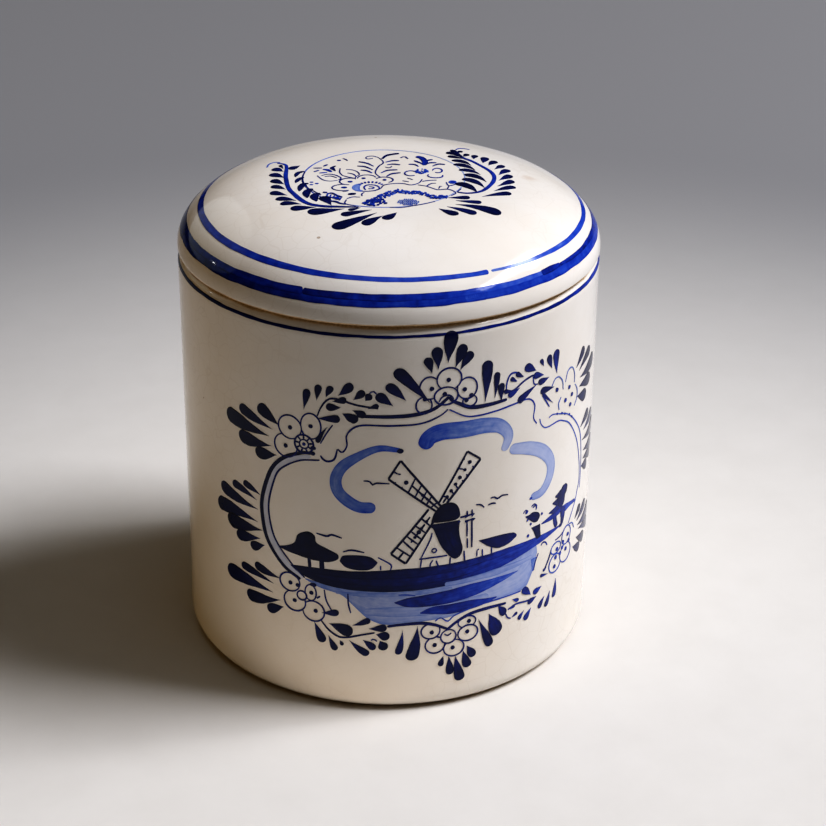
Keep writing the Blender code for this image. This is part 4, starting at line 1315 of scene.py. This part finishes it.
# Near the jar the floor is pale, and further off its colour fades to dark grey. The fade is painted shade: the
# floor darkens where the light falls off away from the window.
FLOOR_REACH = 6.0
LIT_FLOOR = (0.66, 0.63, 0.58, 1.0)
LIT_FLOOR_LIGHT = (0.72, 0.69, 0.64, 1.0)
PAINTED_SHADE_FAR_FLOOR = (0.25, 0.245, 0.245, 1.0)
SHADE_FADE_CENTRE = (0.0, -0.05, 0.0)
SHADE_FADE_START, SHADE_FADE_END = 0.10, 0.42

floor_nodes = Nodes("pale_floor")
mottle = floor_nodes.noise(floor_nodes.position, 60.0, 4.0, 0.6)
# Painted shade: the floor's colour darkens with distance from the jar.
floor_nodes.set(
    Base_Color=floor_nodes.mix(floor_nodes.ramp(floor_nodes.distance(SHADE_FADE_CENTRE), SHADE_FADE_START, SHADE_FADE_END),
                               floor_nodes.mix(mottle, LIT_FLOOR, LIT_FLOOR_LIGHT),
                               PAINTED_SHADE_FAR_FLOOR),
    Roughness=0.9,
)
floor_mesh = bpy.data.meshes.new("floor")
corners = [(x * FLOOR_REACH, y * FLOOR_REACH, 0.0) for x, y in ((-1, -1), (1, -1), (1, 1), (-1, 1))]
floor_mesh.from_pydata(corners, [], [(0, 1, 2, 3)])
floor_mesh.materials.append(floor_nodes.material)
floor = bpy.data.objects.new("floor", floor_mesh)
bpy.context.scene.collection.objects.link(floor)


def direction(azimuth_deg, elevation_deg):
    """Unit vector from the jar towards a direction; azimuth 0 is the painted front and 90 is its right."""
    azimuth, elevation = math.radians(azimuth_deg), math.radians(elevation_deg)
    return Vector((math.sin(azimuth) * math.cos(elevation), -math.cos(azimuth) * math.cos(elevation),
                   math.sin(elevation)))


def area_light(name, azimuth_deg, elevation_deg, distance, size, power, colour,
               shape="RECTANGLE", diffuse=True, glossy=True):
    """A panel that faces the middle of the jar; it can be left out of the shading or the reflections."""
    data = bpy.data.lights.new(name, "AREA")
    data.shape, data.size, data.size_y = shape, size[0], size[1]
    data.energy, data.color = power, colour
    lamp = bpy.data.objects.new(name, data)
    bpy.context.scene.collection.objects.link(lamp)
    towards = direction(azimuth_deg, elevation_deg)
    lamp.location = Vector((0, 0, RADIUS)) + towards * distance
    lamp.rotation_euler = towards.to_track_quat("Z", "Y").to_euler()
    lamp.visible_diffuse, lamp.visible_glossy = diffuse, glossy


area_light("window", 72.0, 50.0, 3.0, (1.1, 1.3), 80.0, (0.97, 0.99, 1.08), glossy=False)
area_light("window_pane", 74.0, 49.0, 3.0, (2.6, 0.36), 32.0, (1.0, 1.0, 1.0), diffuse=False)
area_light("window_core", 89.0, 46.0, 3.0, (0.50, 0.75), 12.0, (0.96, 1.0, 1.08))
area_light("ceiling", 20.0, 80.0, 3.0, (2.0, 2.0), 7.0, (1.0, 0.98, 0.95))
area_light("front_panel", 12.0, 20.0, 3.0, (0.80, 0.40), 0.8, (1.0, 0.88, 0.70))
area_light("warm_wall", -122.0, 5.0, 3.0, (3.0, 0.5), 10.5, (1.0, 0.60, 0.08), glossy=False)
for step, share in enumerate((1.0, 0.72, 0.44)):
    area_light(f"left_sheen_{step}", -146.0, 24.0, 3.0, (3.4 * share, 2.2 * share), 7.5 * share * share,
               (0.93, 1.0, 1.0), shape="ELLIPSE", diffuse=False)
area_light("lamp", -126.5, 20.0, 1.5, (0.035, 0.035), 0.10, (1.0, 1.0, 1.0))

# A warm card lies on the floor against the front left of the jar, facing up.
CARD_SIZE = (0.110, 0.030)
CARD_PLACE = (-0.0270, -0.0650, 0.0006)
CARD_TURN = math.radians(-22.6)

card = bpy.data.lights.new("low_card", "AREA")
card.shape, card.size, card.size_y = "RECTANGLE", *CARD_SIZE
card.energy, card.color = 0.0050, (1.0, 0.78, 0.56)
card_object = bpy.data.objects.new("low_card", card)
card_object.location = CARD_PLACE
card_object.rotation_euler = (math.pi, 0.0, CARD_TURN)
card_object.visible_camera, card_object.visible_glossy = False, False
bpy.context.scene.collection.objects.link(card_object)

world = bpy.data.worlds.new("studio")
bpy.context.scene.world = world
world.use_nodes = True
background = world.node_tree.nodes["Background"]
background.inputs["Color"].default_value = (1.0, 0.70, 0.38, 1.0)
background.inputs["Strength"].default_value = 0.01

# The Standard transform keeps saturated blues saturated.
bpy.context.scene.view_settings.view_transform = "Standard"
bpy.context.scene.view_settings.look = "High Contrast"

VIEW_AZIMUTH = -17.5
VIEW_ELEVATION = 27.35
VIEW_DISTANCE = 0.560
VIEW_LENS = 92.85
VIEW_PAN, VIEW_TILT, VIEW_ROLL = 0.665, 0.396, 0.284

camera_data = bpy.data.cameras.new("camera")
camera_data.lens = VIEW_LENS
camera = bpy.data.objects.new("camera", camera_data)
bpy.context.scene.collection.objects.link(camera)
back = direction(VIEW_AZIMUTH, VIEW_ELEVATION)
aim = back.to_track_quat("Z", "Y").to_matrix().to_4x4()
turn = (Matrix.Rotation(math.radians(VIEW_TILT), 4, "X") @ Matrix.Rotation(math.radians(-VIEW_PAN), 4, "Y")
        @ Matrix.Rotation(math.radians(VIEW_ROLL), 4, "Z"))
camera.matrix_world = Matrix.Translation(Vector((0, 0, RADIUS)) + back * VIEW_DISTANCE) @ aim @ turn
bpy.context.scene.camera = camera
